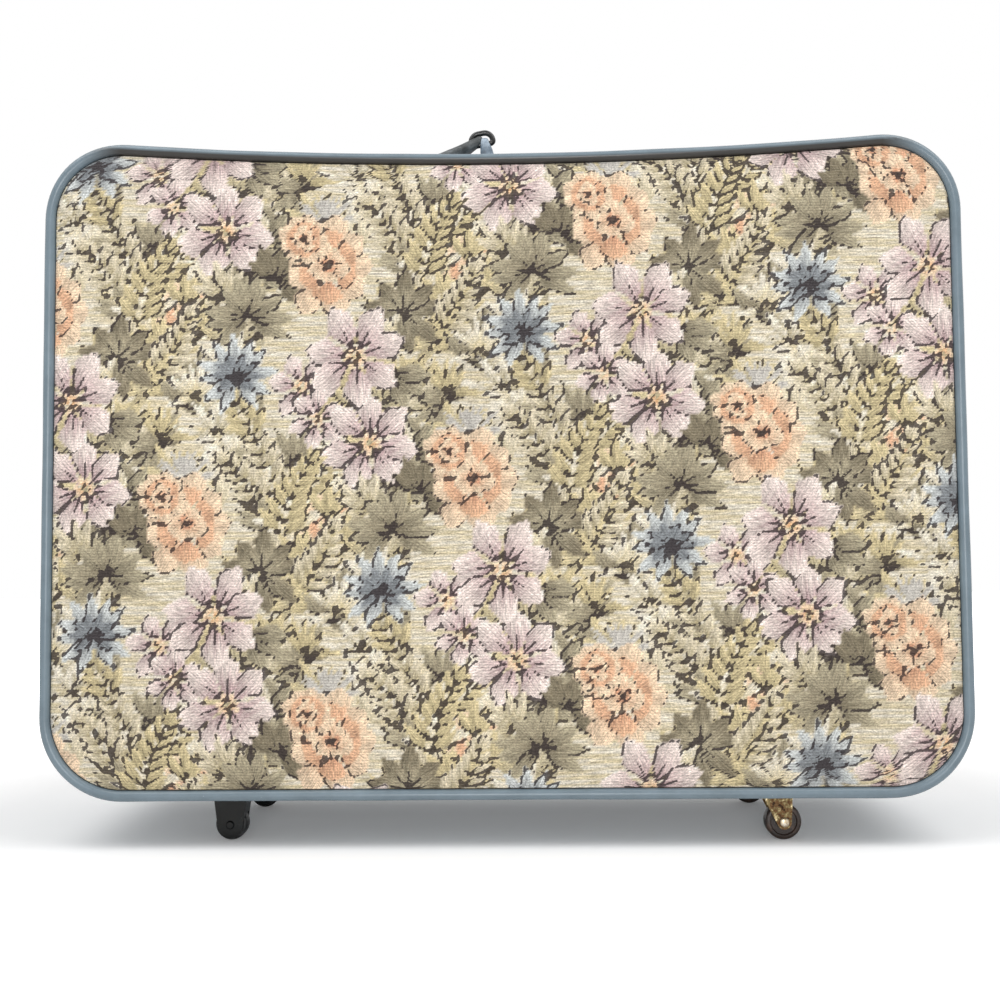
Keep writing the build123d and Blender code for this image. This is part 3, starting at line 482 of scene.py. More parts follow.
for piece_name, body, side, seam_y, covered in (
    ("tapestry_front", "lid", -1, -93.0,
     ("front_panel", "woven_blooms", "woven_carnations", "woven_leaves", "woven_thistles")),
    ("tapestry_back", "case", 1, 93.2, ("back_panel",)),
):
    rows = 2 * corner_rows + side_rows
    bpy.ops.object.select_all(action="DESELECT")
    bpy.ops.mesh.primitive_grid_add(x_subdivisions=cloth_columns, y_subdivisions=rows, size=2.0)
    face = bpy.context.object
    face.name = piece_name
    radius = corner_radius - cloth_inset
    side_x = half_width - cloth_inset
    low = base_z + cloth_inset
    high = top_z - cloth_inset
    flat = points_of(face)
    share_x = flat[:, 0]
    row = np.rint((flat[:, 1] + 1) / 2 * rows)
    turn = np.pi / 2 * np.clip(row, 0, corner_rows) / corner_rows
    turn_top = np.pi / 2 * np.clip(rows - row, 0, corner_rows) / corner_rows
    middle_share = (row - corner_rows) / side_rows
    level = np.where(
        row <= corner_rows, low + radius * (1 - np.cos(turn)),
        np.where(
            row >= rows - corner_rows, high - radius * (1 - np.cos(turn_top)),
            low + radius + middle_share * (high - low - 2 * radius),
        ),
    )
    half = side_x - radius + radius * np.where(row < rows / 2, np.sin(turn), np.sin(turn_top))
    x = share_x * half
    dip = -top_sag + sag_radius - np.sqrt(sag_radius**2 - x**2)
    z = level + dip * np.clip((level - low) / (high - low), 0, 1) ** 3
    box_x = np.abs(x) - (side_x - radius)
    box_z = np.abs(level - (low + high) / 2) - ((high - low) / 2 - radius)
    outside = np.hypot(np.clip(box_x, 0, None), np.clip(box_z, 0, None))
    depth = radius - (outside + np.minimum(np.maximum(box_x, box_z), 0))
    crown = 4.6 + 4.4 * (1 - np.exp(-depth / 15.0))
    around = np.arctan2(z - 294, x)
    pucker = 0.35 * np.sin(around * 74 + 1.1 * np.sin(around * 9)) * np.exp(-((depth - 6) / 6) ** 2)
    swell = 0.35 * np.sin(x * 0.019 + 0.7) * np.sin(z * 0.023 + 0.4) * np.clip(depth / 40, 0, 1)
    y = seam_y + side * (crown + pucker + swell)
    shaped = np.stack([-side * x, y, z], 1) / 1000
    face.data.vertices.foreach_set("co", shaped.ravel())
    bpy.ops.object.mode_set(mode="EDIT")
    bpy.ops.mesh.select_all(action="DESELECT")
    bpy.ops.mesh.select_mode(type="EDGE")
    bpy.ops.mesh.select_non_manifold()
    bpy.ops.mesh.extrude_region_move()
    bpy.ops.transform.resize(value=(1, 0, 1), center_override=(0, seam_y / 1000, 0))
    bpy.ops.mesh.edge_face_add()
    bpy.ops.object.mode_set(mode="OBJECT")
    spots = points_of(face) * 1000
    shift = (0.0, 0.0) if side < 0 else (64.0, -40.0)
    colour, ink, lay = weave_pattern(-side * spots[:, 0], spots[:, 2], shift)
    weave = face.data.attributes.new("weave", "FLOAT_COLOR", "POINT")
    weave.data.foreach_set("color", np.concatenate([colour, np.ones((len(colour), 1))], 1).ravel())
    thread = face.data.attributes.new("ink", "FLOAT", "POINT")
    thread.data.foreach_set("value", ink)
    floats = face.data.attributes.new("lay", "FLOAT_VECTOR", "POINT")
    floats.data.foreach_set("vector", lay.ravel())
    while face.data.uv_layers:
        face.data.uv_layers.remove(face.data.uv_layers[0])
    chart = face.data.uv_layers.new(name="OFBake")
    corner_vertex = np.empty(len(face.data.loops), dtype=int)
    face.data.loops.foreach_get("vertex_index", corner_vertex)
    corner_xz = spots[corner_vertex]
    width_span = 2 * half_width
    flat_u = (corner_xz[:, 0] + half_width) / width_span
    flat_v = (corner_xz[:, 2] - base_z) / width_span
    total = np.empty(len(face.data.polygons), dtype=int)
    start = np.empty(len(face.data.polygons), dtype=int)
    face.data.polygons.foreach_get("loop_total", total)
    face.data.polygons.foreach_get("loop_start", start)
    front_count = cloth_columns * rows
    hidden = np.ones(len(corner_vertex), dtype=bool)
    hidden[: start[front_count]] = False
    skirt = hidden.copy()
    widest_face = int(np.argmax(total))
    skirt[start[widest_face] : start[widest_face] + total[widest_face]] = False
    flat_u[hidden] = 0.3 * flat_u[hidden]
    flat_v[hidden] = 0.77 + 0.3 * flat_v[hidden]
    flat_u[skirt] += 0.4
    chart.data.foreach_set("uv", np.stack([flat_u, flat_v], 1).ravel())
    bpy.ops.object.shade_smooth()
    face.data.materials.append(cloth)
    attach(face, body)
    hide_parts(*covered)


# Corded edges: slate vinyl folded over a cord and sewn in the seam, one round each face. The
# vinyl is worn pale in small spots. Along the top, the cord's lower, inner side is painted dark brown as
# shade.
vinyl_cord, cord_shader, cord_place = new_material("calendered_vinyl_cord")
cord_blotch, cord_grain, cord_scuff = (
    add_node(
        vinyl_cord, "ShaderNodeTexNoise",
        {"Vector": cord_place, "Scale": scale, "Detail": detail, "Roughness": rough},
    ).outputs["Fac"]
    for scale, detail, rough in ((42.0, 5.0, 0.6), (620.0, 3.0, 0.6), (95.0, 6.0, 0.75))
)
scuff_mask = add_node(
    vinyl_cord, "ShaderNodeMapRange",
    {"Value": cord_scuff, "From Min": 0.68, "From Max": 0.74, "To Max": 0.8},
)
# Painted shade: a dark brown laid on the lower, inner side of the top cord, where it is in shadow.
painted_shade = add_node(vinyl_cord, "ShaderNodeAttribute", {}, attribute_name="painted_shade")
cord_colour = srgb("#57646c")
for factor, code in (
    (cord_blotch, "#788892"), (scuff_mask.outputs[0], "#c9d2d6"), (painted_shade.outputs["Fac"], "#2f2a25"),
):
    cord_colour = add_node(
        vinyl_cord, "ShaderNodeMix", {"Factor": factor, "A": cord_colour, "B": srgb(code)},
        data_type="RGBA",
    ).outputs["Result"]
cord_bump = add_node(
    vinyl_cord, "ShaderNodeBump", {"Height": cord_grain, "Strength": 0.25, "Distance": 0.0003},
)
set_inputs(vinyl_cord, cord_shader, {
    "Base Color": cord_colour, "Normal": cord_bump.outputs[0], "Roughness": 0.27,
    "Specular IOR Level": 0.4,
})


def skin(name, rings, material, wrap_rings=True, wrap_points=True):
    """Mesh through rings of points, from a grid that is bent into place and welded."""
    rings = np.asarray(rings, dtype=float)
    if wrap_rings:
        rings = np.concatenate([rings, rings[:1]])
    if wrap_points:
        rings = np.concatenate([rings, rings[:, :1]], 1)
    across, along = rings.shape[0] - 1, rings.shape[1] - 1
    bpy.ops.object.select_all(action="DESELECT")
    bpy.ops.mesh.primitive_grid_add(x_subdivisions=across, y_subdivisions=along, size=2.0)
    piece = bpy.context.object
    piece.name = name
    grid = points_of(piece)
    i = np.rint((grid[:, 0] + 1) / 2 * across).astype(int)
    j = np.rint((grid[:, 1] + 1) / 2 * along).astype(int)
    piece.data.vertices.foreach_set("co", (rings[i, j] / 1000).ravel())
    bpy.ops.object.mode_set(mode="EDIT")
    bpy.ops.mesh.select_all(action="SELECT")
    bpy.ops.mesh.remove_doubles(threshold=0.00001)
    bpy.ops.mesh.normals_make_consistent(inside=False)
    bpy.ops.object.mode_set(mode="OBJECT")
    bpy.ops.object.shade_smooth()
    piece.data.materials.append(material)
    return piece


def tube(route, radius, sides, closed=True):
    """Rings of points round a route of (x, y, z) points that lies in an upright plane."""
    route = np.asarray(route, dtype=float)
    ahead = np.gradient(route, axis=0)
    if closed:
        ahead = np.roll(route, -1, 0) - np.roll(route, 1, 0)
    ahead /= np.linalg.norm(ahead, axis=1)[:, None]
    outward = np.stack([ahead[:, 2], np.zeros(len(route)), -ahead[:, 0]], 1)
    outward /= np.linalg.norm(outward, axis=1)[:, None]
    aside = np.cross(ahead, outward)
    angle = 2 * np.pi * np.arange(sides) / sides
    radius = np.broadcast_to(radius, len(route))[:, None, None]
    swing = outward[:, None] * np.cos(angle)[None, :, None]
    swing = swing + aside[:, None] * np.sin(angle)[None, :, None]
    return route[:, None] + radius * swing


cord_radius = 4.2
for piece_name, body, seam_y, node in (
    ("corded_edge_front", "lid", -96.5, "front_piping"),
    ("corded_edge_back", "case", 96.5, "back_piping"),
):
    route = outline(cord_radius - 0.4)
    step = np.arange(len(route))
    plump = cord_radius * (1 + 0.04 * np.sin(step * 0.31) * np.sin(step * 0.113))
    route = np.stack([route[:, 0], np.full(len(route), seam_y), route[:, 1]], 1)
    cord = skin(piece_name, tube(route, plump, 14), vinyl_cord)
    spots = points_of(cord) * 1000
    # Painted shade: the lower, inner half of the cord along the top, which the shader darkens to brown.
    top_line = top_z - top_sag + sag_radius - np.sqrt(sag_radius**2 - spots[:, 0] ** 2) - cord_radius
    below = np.clip(0.9 + (top_line - spots[:, 2]) / 1.6, 0, 1)
    below *= np.clip((328 - abs(spots[:, 0])) / 30, 0, 1)
    underside_shade = cord.data.attributes.new("painted_shade", "FLOAT", "POINT")
    underside_shade.data.foreach_set("value", 0.94 * below * (spots[:, 2] > 500))
    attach(cord, body)
    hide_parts(node)


# Gusset: grained slate vinyl on thin foam, sewn between the zip and the back seam. It bellies
# out a little, lies flat under the wheel plates and handle tabs, and is a few millimetres thick.
vinyl, vinyl_shader, vinyl_place = new_material("grained_slate_vinyl")
vinyl_blotch, vinyl_scrape = (
    add_node(
        vinyl, "ShaderNodeTexNoise",
        {"Vector": vinyl_place, "Scale": scale, "Detail": detail, "Roughness": rough},
    ).outputs["Fac"]
    for scale, detail, rough in ((9.0, 4.0, 0.55), (60.0, 7.0, 0.75))
)
scrape_mask = add_node(
    vinyl, "ShaderNodeMapRange",
    {"Value": vinyl_scrape, "From Min": 0.69, "From Max": 0.76, "To Max": 0.6},
)
vinyl_colour = srgb("#5d6a72")
for factor, code in ((vinyl_blotch, "#75838c"), (scrape_mask.outputs[0], "#aeb8bd")):
    vinyl_colour = add_node(
        vinyl, "ShaderNodeMix", {"Factor": factor, "A": vinyl_colour, "B": srgb(code)},
        data_type="RGBA",
    ).outputs["Result"]
vinyl_cells = add_node(
    vinyl, "ShaderNodeTexVoronoi",
    {"Vector": vinyl_place, "Scale": 720.0, "Randomness": 1.0},
    feature="F1",
)
vinyl_bump = add_node(
    vinyl, "ShaderNodeBump",
    {"Height": vinyl_cells.outputs["Distance"], "Strength": 0.35, "Distance": 0.0003},
)
set_inputs(vinyl, vinyl_shader, {
    "Base Color": vinyl_colour, "Normal": vinyl_bump.outputs[0], "Roughness": 0.5,
})

gusset_steps = 26
gusset_front_y = -82.1
gusset_back_y = 92.8
edge_inset = 1.5
gusset_bulge = 4.0
gusset_wall = 3.4
bottom_sag = 6.0
seat_rise = 1.0
tab_places = (-16.0, -138.0)
route = outline(0.0)
column, share = np.meshgrid(np.arange(len(route)), np.linspace(0, 1, gusset_steps + 1), indexing="ij")
y = gusset_front_y + share * (gusset_back_y - gusset_front_y)
ahead = np.roll(route, -1, 0) - np.roll(route, 1, 0)
ahead /= np.linalg.norm(ahead, axis=1)[:, None]
outward = np.stack([ahead[:, 1], -ahead[:, 0]], 1)
belly = np.clip(1 - np.abs(y / 92.0) ** 2.4, 0, 1)
belly = np.minimum(belly, np.clip((y - gusset_front_y) / 20, 0, 1))
swell = -edge_inset + belly * (gusset_bulge + edge_inset)
swell += 0.5 * np.sin(column * 0.085 + 0.03 * y) * np.sin(column * 0.031 + 1.0) * belly
x = route[column, 0] + outward[column, 0] * swell
z = route[column, 1] + outward[column, 1] * swell
under = outward[column, 1] < -0.3
low_line = base_z - belly * bottom_sag * np.clip(1 - (x / 292.0) ** 2, 0, 1)
level_run = under & (outward[column, 1] < -0.99)
z = np.where(level_run, np.maximum(low_line, base_z - bottom_sag), z)
z = np.where(level_run & (belly < 0.3), low_line + edge_inset * (1 - belly), z)
for plate_x, plate_y, reach_x, reach_y in (
    (209.0, -67.0, 23.0, 19.0), (209.0, 67.0, 23.0, 19.0),
    (-216.0, -60.0, 25.0, 22.0), (-216.0, 60.0, 25.0, 22.0),
):
    away = np.maximum(np.abs(x - plate_x) / reach_x, np.abs(y - plate_y) / reach_y)
    pressed = np.clip((1.35 - away) / 0.35, 0, 1)
    pressed = pressed * pressed * (3 - 2 * pressed)
    z = np.where(under, z + pressed * np.clip(base_z + edge_inset - z, 0, None), z)
for tab_x in tab_places:
    seat = top_z - top_sag + sag_radius - math.sqrt(sag_radius**2 - tab_x**2) + seat_rise
    away = np.maximum(np.abs(x - tab_x) / 17.5, np.abs(y) / 11.5)
    pressed = np.clip((1.9 - away) / 0.9, 0, 1)
    pressed = pressed * pressed * (3 - 2 * pressed)
    over = outward[column, 1] > 0.5
    z = np.where(over, z - pressed * np.clip(z - seat, 0, None), z)
gusset = skin("vinyl_gusset", np.stack([x, y, z], 2), vinyl, wrap_points=False)
wall = gusset.modifiers.new("wall", "SOLIDIFY")
wall.thickness = gusset_wall / 1000
wall.offset = -1.0
bpy.ops.object.modifier_apply(modifier=wall.name)
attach(gusset, "case")
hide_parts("gusset")
for name in ("hinge_strip", "lid_edge_strip"):
    nodes[name].material_slots[0].material = vinyl


# Handle grip: padded dark vinyl strap with a fine pebble, limp enough to sag between its rings,
# with an edge seam on both sides. Each end narrows to a loop folded round the side of a ring.
def mottled(name, colours, patch, rough, metal=0.0, grain=0.0, spread=0.14):
    """Material whose tone wanders through colours in soft patches, with a fine pebbled grain."""
    made, shader, place = new_material(name)
    patches = add_node(
        made, "ShaderNodeTexNoise",
        {"Vector": place, "Scale": patch, "Detail": 5.0, "Roughness": 0.7},
    ).outputs["Fac"]
    ramp = add_node(made, "ShaderNodeValToRGB", {"Fac": patches})
    stops = ramp.color_ramp.elements
    for index, code in enumerate(colours):
        position = 0.5 + spread * (2 * index / (len(colours) - 1) - 1)
        stop = stops[index] if index < 2 else stops.new(position)
        stop.position = position
        stop.color = srgb(code)
    gloss = add_node(
        made, "ShaderNodeMapRange",
        {"Value": patches, "From Min": 0.3, "From Max": 0.7,
         "To Min": 1.2 * rough, "To Max": 0.8 * rough},
    )
    pebbles = add_node(made, "ShaderNodeTexVoronoi", {"Vector": place, "Scale": grain or 8 * patch})
    bump = add_node(
        made, "ShaderNodeBump",
        {"Height": pebbles.outputs["Distance"], "Strength": 0.4 if grain else 0.1, "Distance": 0.0003},
    )
    set_inputs(made, shader, {
        "Base Color": ramp.outputs["Color"], "Roughness": gloss.outputs[0],
        "Normal": bump.outputs[0], "Metallic": metal,
    })
    return made


dark_vinyl = mottled("embossed_dark_vinyl", ("#2c2f30", "#3f4344", "#63686a"), 70.0, 0.45, grain=650.0)
tab_seats = (536.032, 538.4)
bar_heights = (578.032, 555.4)
handle_right, handle_left = (
    np.array((tab_x, 0.0, height)) for tab_x, height in zip(tab_places, bar_heights)
)
handle_line = (handle_right - handle_left) / np.linalg.norm(handle_right - handle_left)
handle_up = np.array((-handle_line[2], 0.0, handle_line[0]))
ring_half_span = 9.5
ring_rise = 10.0
ring_wire = 2.4
ring_corner = 7.0
ring_foot = 2.4
grip_points = 32
grip_reach = np.linalg.norm(handle_right - handle_left) / 2 - ring_half_span + 11.0
grip_middle = (handle_right + handle_left) / 2 + handle_up * 5.5
grip_sag = 15.0
share = np.linspace(-1, 1, 61)
width = np.interp(np.abs(share), (0, 0.5, 0.76, 0.9, 1.0), (25.5, 25.0, 17.0, 9.0, 7.4)) / 2
thick = np.interp(np.abs(share), (0, 0.5, 0.78, 0.9, 1.0), (10.4, 10.2, 9.6, 8.8, 7.0)) / 2
angle = 2 * np.pi * np.arange(grip_points) / grip_points
round_y = np.sign(np.cos(angle)) * np.abs(np.cos(angle)) ** 0.75
round_z = np.sign(np.sin(angle)) * np.abs(np.sin(angle)) ** 0.85
seam_line = 1 - 0.05 * np.exp(-((np.abs(np.cos(angle)) - 0.9) / 0.05) ** 2)
rings = []
for step in range(len(share)):
    end_round = math.sqrt(max(0.0004, 1 - max(0.0, (abs(share[step]) - 0.93) / 0.07) ** 2))
    middle = grip_middle + handle_line * share[step] * grip_reach
    middle = middle - handle_up * grip_sag * (1 - share[step] ** 2)
    rings.append(
        middle
        + np.outer(round_y * width[step] * end_round * seam_line, (0, 1, 0))
        + np.outer(round_z * thick[step] * end_round * seam_line, handle_up)
    )
rings[0][:] = rings[0].mean(0)
rings[-1][:] = rings[-1].mean(0)
grip = skin("padded_grip", rings, dark_vinyl, wrap_rings=False)
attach(grip, "handle")
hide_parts("handle_grip")

# Handle rings: thick steel wire bent to an arched loop and coated in black enamel, which has
# chipped to grey in places. The straight lower bar turns in the fold of the tab.
black_enamel = mottled("black_stove_enamel", ("#050505", "#0a0b0b", "#2b2d2e"), 200.0, 0.22, spread=0.2)
for piece_name, centre, node in (
    ("wire_ring_right", handle_right, "handle_ring_right"),
    ("wire_ring_left", handle_left, "handle_ring_left"),
):
    route = []
    for turn_x, turn_z, first in ((1, 0, -90), (1, 1, 0), (-1, 1, 90), (-1, 0, 180)):
        small = ring_foot if turn_z == 0 else ring_corner
        hub_x = turn_x * (ring_half_span - small)
        hub_z = small if turn_z == 0 else ring_rise - small
        for step in range(7):
            angle_here = math.radians(first + 15 * step)
            route.append(
                centre + handle_line * (hub_x + small * math.cos(angle_here))
                + handle_up * (hub_z + small * math.sin(angle_here))
            )
    wire = skin(piece_name, tube(route, ring_wire, 12), black_enamel)
    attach(wire, "handle")
    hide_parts(node)

# Handle tabs: slate vinyl strap folded over the ring's lower bar, which widens downwards to a
# flat foot riveted through the gusset. It has been pulled a little to one side.
tab_vinyl = mottled("folded_slate_vinyl", ("#4f5b66", "#6d7c8a", "#9dabb8"), 120.0, 0.42, grain=700.0)
for piece_name, node, tab_x, seat_z, bar_z in zip(
    ("folded_tab_right", "folded_tab_left"), ("handle_tab_right", "handle_tab_left"),
    tab_places, tab_seats, bar_heights,
):
    rise = bar_z + 5.5 - seat_z
    rings = []
    for height, half_x, half_y, lean in (
        (0.0, 0.02, 0.02, 0.0), (0.0, 17.0, 11.0, 0.0), (1.6, 17.0, 11.0, 0.0), (2.0, 16.4, 10.4, 0.0),
        (2.3, 9.6, 3.8, 0.0), (4.0, 8.4, 2.8, 0.6),
        (0.35 * rise, 7.6, 2.4, 3.4), (0.6 * rise, 6.6, 2.4, 4.6),
        (0.8 * rise, 5.2, 3.2, 3.2), (0.9 * rise, 4.3, 3.9, 2.0), (0.97 * rise, 3.8, 3.2, 1.3),
        (rise, 3.3, 1.6, 1.0), (rise + 0.1, 0.02, 0.02, 1.0),
    ):
        corner = 0.35 if half_x > 9 else 0.7
        ring_x = np.sign(np.cos(angle)) * np.abs(np.cos(angle)) ** corner * half_x
        ring_y = np.sign(np.sin(angle)) * np.abs(np.sin(angle)) ** corner * half_y
        rings.append(np.stack([tab_x + lean + ring_x, ring_y, np.full(grip_points, seat_z + height)], 1))
    tab = skin(piece_name, rings, tab_vinyl, wrap_rings=False)
    bpy.ops.object.shade_smooth_by_angle(angle=math.radians(50))
    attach(tab, "case")
    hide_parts(node)

# Rivets: nickel-plated steel with low domed heads, through the handle tabs and the flanges of
# the wheel housings. The heads are turned from a profile and lie on the flat of each tab.
nickel = mottled("nickel_plated_steel", ("#7f7b74", "#b9b6ae", "#e4e1da"), 420.0, 0.32, metal=1.0)


def turned(profile, centre, axis, sides=28):
    """Rings of a profile of (distance, radius) pairs, turned about an axis through a centre."""
    axis = np.array(axis, dtype=float)
    first = np.cross(axis, (0.3, 0.9, 0.31))
    first /= np.linalg.norm(first)
    second = np.cross(axis, first)
    angle = 2 * np.pi * np.arange(sides) / sides
    around = first * np.cos(angle)[:, None] + second * np.sin(angle)[:, None]
    return [np.array(centre) + axis * along + around * reach for along, reach in profile]


quarter = np.linspace(0, math.pi / 2, 8)[1:]
foot_rise = 2.0
rivet_apart = 13.0
rivet_profile = [(1.5, 0.0)] + [(1.5 * math.cos(a), 3.4 * math.sin(a)) for a in quarter]
rivet_profile += [(0.0, 1.9), (-9.0, 1.9), (-9.0, 0.0)]
for index, (tab_x, seat_z) in enumerate(zip(tab_places, tab_seats)):
    for side in (-1, 1):
        centre = (tab_x + side * rivet_apart, 0, seat_z + foot_rise)
        rings = turned(rivet_profile, centre, (0, 0, 1), 24)
        rivet = skin(
            f"handle_rivet_{index}_{side + 1}", rings, nickel, wrap_rings=False
        )
        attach(rivet, "case")
        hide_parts("handle_rivets")
nodes["housing_rivets"].material_slots[0].material = nickel

# Swivel casters: pressed steel, brass plated and long tarnished, so pale brass, rust brown and
# olive lie side by side in spots of 2 to 4 mm. The axle's domed heads are rubbed bright.
tarnish = mottled(
    "tarnished_brass_plate", ("#1b140e", "#42301d", "#6b4b2e", "#665c3f", "#96835a", "#ead9b0"),
    260.0, 0.45, metal=0.75, grain=900.0, spread=0.17,
)
rubbed_brass = mottled("rubbed_brass", ("#8f7b5d", "#cdbb9c", "#f7efdf"), 330.0, 0.34, metal=0.8)
axle_x = 216.0
axle_z = 14.0
axle_reach = 8.6
head_rise = 1.5
head_radius = 3.7
shank_radius = 1.9


def soften(piece, width, segments=2):
    """Small rounding on the edges of a rigid piece, with its width in millimetres."""
    edge = piece.modifiers.new("soft_edge", "BEVEL")
    edge.width = width / 1000
    edge.segments = segments


for place, axle_y in (("front", -67.0), ("back", 67.0)):
    for part in ("plate", "washer", "kingpin", "fork"):
        piece = nodes[f"caster_{part}_{place}"]
        piece.material_slots[0].material = tarnish
        if part in ("plate", "fork"):
            soften(piece, 0.4)
    cap = [(axle_reach + head_rise, 0.0)]
    cap += [(axle_reach + head_rise * math.cos(a), head_radius * math.sin(a)) for a in quarter]
    profile = cap + [(axle_reach, shank_radius), (-axle_reach, shank_radius)]
    profile += [(-along, reach) for along, reach in reversed(cap)]
    pin = skin(f"caster_pin_{place}", turned(profile, (axle_x, axle_y, axle_z), (0, -1, 0)),
               rubbed_brass, wrap_rings=False)
    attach(pin, f"caster_{place}")
    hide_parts(f"caster_axle_{place}")
nodes["caster_rivets"].material_slots[0].material = tarnish

# Wheels: moulded and turned true, with rounded treads, a shallow dish on both sides and a hub
# round the axle. The casters' are dark brown, the fixed ones black and greyed by wear.
dish = 1.1
tread_round = 2.4
bore_radius = 2.15
for material_name, colours, rough, slot_name, names in (
    ("brown_moulded_wheel", ("#1a120e", "#2b1e18", "#4d3b31"), 0.33, "caster_tread",
     ("caster_wheel_front", "caster_wheel_back")),
    ("black_moulded_wheel", ("#0b0c0c", "#151616", "#3a3b3c"), 0.45, "wheel_black",
     ("fixed_wheel_front", "fixed_wheel_back")),
):
    rubber = mottled(material_name, colours, 150.0, rough, grain=800.0, spread=0.2)
    for name in names:
        low, high = (np.array(corner) * 1000 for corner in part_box(name))
        radius = (high[2] - low[2]) / 2
        half = (high[1] - low[1]) / 2
        side = [
            (half, 0.75 * radius), (half - dish, 0.7 * radius),
            (half - dish, 0.38 * radius), (half - 0.2, 0.34 * radius), (half - 0.2, bore_radius),
        ]
        tread = [
            (half + tread_round * (math.sin(a) - 1), radius + tread_round * (math.cos(a) - 1))
            for a in np.linspace(0, math.pi / 2, 6)
        ]
        profile = [(-along, reach) for along, reach in reversed(tread + side)] + tread + side
        rings = turned(profile, (low + high) / 2, (0, 1, 0), 48)
        wheel = skin(f"turned_{name}", rings, rubber)
        bpy.ops.object.shade_smooth_by_angle(angle=math.radians(40))
        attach(wheel, name)
        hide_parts(name)

# Fixed wheel housings and their axles: black injection-moulded plastic, glossy, with faint grey
# scuffs. Each housing is one moulding, whose flange is riveted through the gusset.
black_plastic = mottled(
    "injection_moulded_black", ("#020303", "#060707", "#181c1c"), 90.0, 0.2, spread=0.22
)
plastic_shader = black_plastic.node_tree.nodes["Principled BSDF"]
plastic_shader.inputs["Specular IOR Level"].default_value = 0.3
for place in ("front", "back"):
    nodes[f"wheel_housing_{place}"].material_slots[0].material = black_plastic
    soften(nodes[f"wheel_housing_{place}"], 1.2, 3)
    nodes[f"fixed_axle_{place}"].material_slots[0].material = black_plastic

# Stiffening inside: grey-brown pressed fibreboard for the hoop and the two faces, and a plywood
# board under the floor, whose veneer runs from side to side in long streaks.
fibreboard = mottled("pressed_fibreboard", ("#6f6353", "#86796a", "#9c8f7e"), 320.0, 0.85, grain=1400.0)
for name in ("hoop", "lid_board", "back_board"):
    nodes[name].material_slots[0].material = fibreboard
plywood = mottled("birch_plywood", ("#a98559", "#c4a273", "#d8bd92"), 30.0, 0.6, grain=900.0)
veneer = add_node(plywood, "ShaderNodeMapping", {"Scale": (0.12, 1.6, 1.6)})
for link in list(plywood.node_tree.links):
    if link.to_node.type == "TEX_NOISE":
        plywood.node_tree.links.new(link.from_socket, veneer.inputs[0])
        plywood.node_tree.links.new(veneer.outputs[0], link.to_socket)
nodes["base_board"].material_slots[0].material = plywood

# Linings: thin rayon cloth, loose in the body with soft folds towards its corners, and held flat
# on the lid's board. The body's is one bag sewn at the opening.
lining_cloth = mottled("rayon_lining", ("#a0988a", "#a9a192", "#b2aa9b"), 60.0, 0.6, grain=1500.0)


def free_edge(piece, thickness, body, node):
    """Gives a thin piece its thickness and lets it stand for its plain solid."""
    wall = piece.modifiers.new("thickness", "SOLIDIFY")
    wall.thickness = thickness
    wall.offset = 0.0
    bpy.ops.object.modifier_apply(modifier=wall.name)
    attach(piece, body)
    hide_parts(node)


for piece_name, inset, levels, body, node, held, lies_on in (
    ("body_lining_bag", 8.0, np.linspace(-82.0, 88.8, 36), "case", "body_lining", "gathered",
     ("base_board", "back_board", "hoop")),
    ("lid_lining_panel", 9.7, np.array((-89.7,)), "lid", "lid_lining", "stretched", ("lid_board",)),
):
    route = outline(inset, 12, 40, 56)
    around = np.linspace(0, 2 * np.pi, len(route), endpoint=False)
    middle = route.mean(0)
    wave = np.sin(around * 23 + 2 * np.sin(around * 5)) + 0.6 * np.sin(around * 51 + 1.0)
    rings = []
    for level in levels:
        slack = 0.9 * (1 + wave * np.clip((level + 84) / 60, 0, 1) / 1.6)
        ring = middle + (route - middle) * (1 - slack / np.linalg.norm(route - middle, axis=1))[:, None]
        lifted = ring[:, 1] if body == "lid" else np.maximum(ring[:, 1], 50.2 + 0.4 * wave)
        rings.append(np.stack([ring[:, 0], np.full(len(route), level), lifted], 1))
    for scale in np.linspace(1, 0, 26)[1:]:
        ring = middle + (rings[len(levels) - 1][:, (0, 2)] - middle) * scale
        ripple = 0.0 if body == "lid" else 0.35 * (1 + wave / 1.6) * scale**2 * min(1.0, 6 * (1 - scale))
        level = np.full(len(route), levels[-1]) - ripple
        level += 0.2 * np.sin(ring[:, 0] * 0.031) * np.sin(ring[:, 1] * 0.024) * (1 - scale)
        rings.append(np.stack([ring[:, 0], level, ring[:, 1]], 1))
    lining = skin(piece_name, rings, lining_cloth, wrap_rings=False)
    free_edge(lining, 0.0005, body, node)

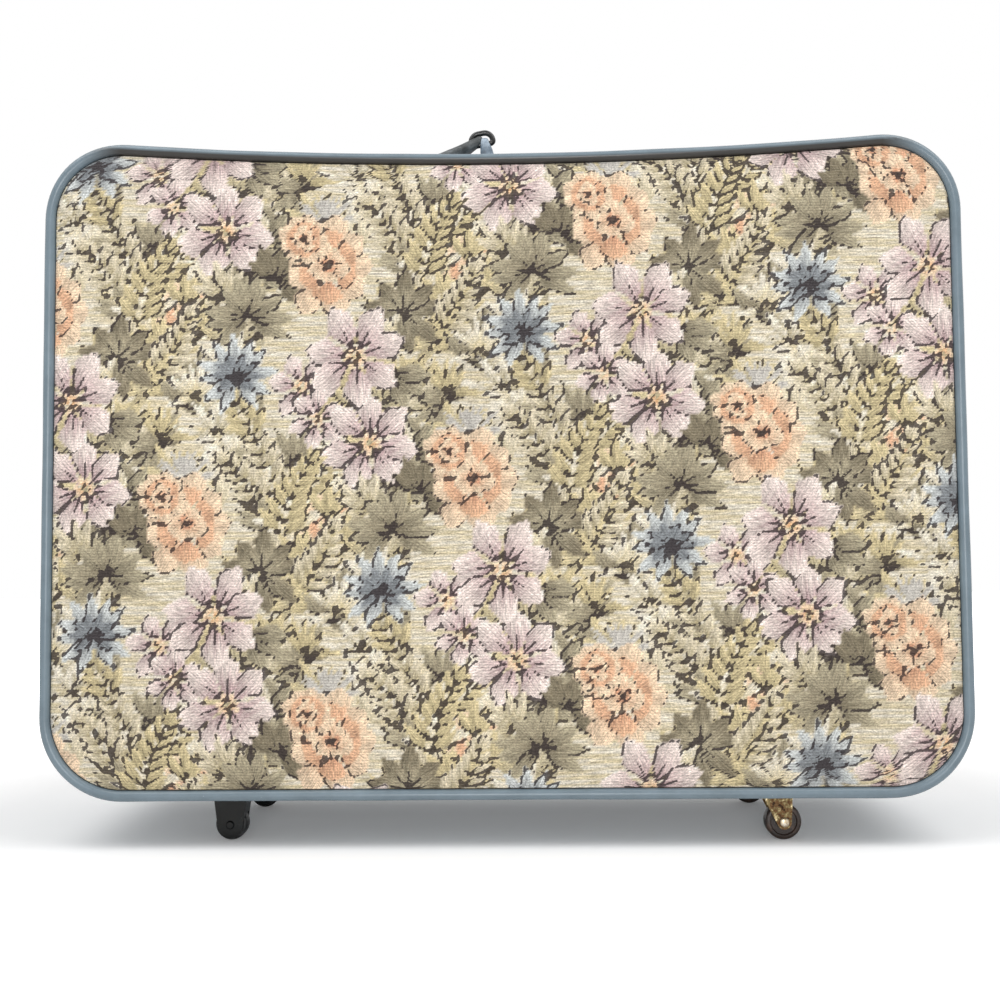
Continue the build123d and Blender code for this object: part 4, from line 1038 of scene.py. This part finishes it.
# Packing straps: dull ribbed webbing 25 mm wide, sewn in at the side of the body, laid along its
# back and drawn through the moulded ladder buckle, with a little slack in it.
webbing = mottled("ribbed_webbing", ("#4b5154", "#5e656a", "#747c81"), 240.0, 0.75, grain=1300.0)
strap_share = np.linspace(0, 1, 90)
strap_seam_x = 346.2
strap_length = 334.0
strap_middle_z = 270.0
strap_half = 12.5
turned_in = 0.08
for piece_name, side, node in (
    ("laid_strap_left", -1, "packing_strap_left"), ("laid_strap_right", 1, "packing_strap_right"),
):
    run = np.clip((strap_share - turned_in) / (1 - turned_in), 0, 1)
    strap_x = side * (strap_seam_x - strap_length * run)
    strap_y = 56.0 + 31.0 * np.clip(strap_share / turned_in, 0, 1)
    strap_y -= 1.1 * (1 - np.cos(run * 2 * np.pi * 5)) * np.exp(-3 * run)
    rings = []
    for edge in np.linspace(-1, 1, 9):
        strap_z = np.full(len(strap_share), strap_middle_z + strap_half * edge)
        rings.append(np.stack([strap_x, strap_y + 0.3 * math.cos(edge * 2.2), strap_z], 1))
    strap = skin(piece_name, rings, webbing, wrap_rings=False, wrap_points=False)
    free_edge(strap, 0.0014, "case", node)
buckle_plastic = mottled("moulded_buckle", ("#1c1e1f", "#2b2e2f", "#3d4142"), 160.0, 0.4)
nodes["strap_buckle"].material_slots[0].material = buckle_plastic
soften(nodes["strap_buckle"], 0.7)

# Zip: a woven tape and a coil of teeth on each half, and a slider with its pull in tarnished
# nickel. Each coil is a bead with a rib every 2.5 mm, and the tape is the plain CAD strip.
zip_tape = mottled("zip_tape", ("#3c464c", "#4b565d", "#5c686f"), 300.0, 0.8, grain=1500.0)
zip_coil = mottled("zip_coil", ("#6f7476", "#8d9294", "#b4b8b9"), 400.0, 0.38)
coil_inset = 3.4
zip_end_z = 103.5
rib_pitch = 2.5
for half_name, body, coil_y in (("lid", "lid", -86.9), ("body", "case", -85.1)):
    nodes[f"zip_half_{half_name}"].material_slots[0].material = zip_tape
    route = outline(coil_inset, 120, 300, 500)
    route = np.roll(route, -int(np.argmin(route[:, 1] + (route[:, 0] < 0) * 9999)), 0)
    route = route[route[:, 1] > zip_end_z]
    first = int(np.argmax(route[:, 0] + (route[:, 1] < 106) * 9999))
    route = np.roll(route, -first, 0)
    travel = np.concatenate([[0], np.cumsum(np.linalg.norm(np.diff(route, axis=0), axis=1))])
    marks = np.arange(0, travel[-1], rib_pitch / 2)
    route = np.stack([np.interp(marks, travel, route[:, k]) for k in (0, 1)], 1)
    ribs = 0.95 + 0.25 * (np.arange(len(marks)) % 2)
    bead = np.stack([route[:, 0], np.full(len(marks), coil_y), route[:, 1]], 1)
    coil = skin(f"zip_coil_{half_name}", tube(bead, ribs, 8, closed=False), zip_coil,
                wrap_rings=False)
    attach(coil, body)
zip_metal = mottled("tarnished_nickel", ("#5d5a52", "#8f8b80", "#c9c5ba"), 300.0, 0.36, metal=1.0)
for name in ("zip_slider", "zip_pull"):
    nodes[name].material_slots[0].material = zip_metal
    soften(nodes[name], 0.3)
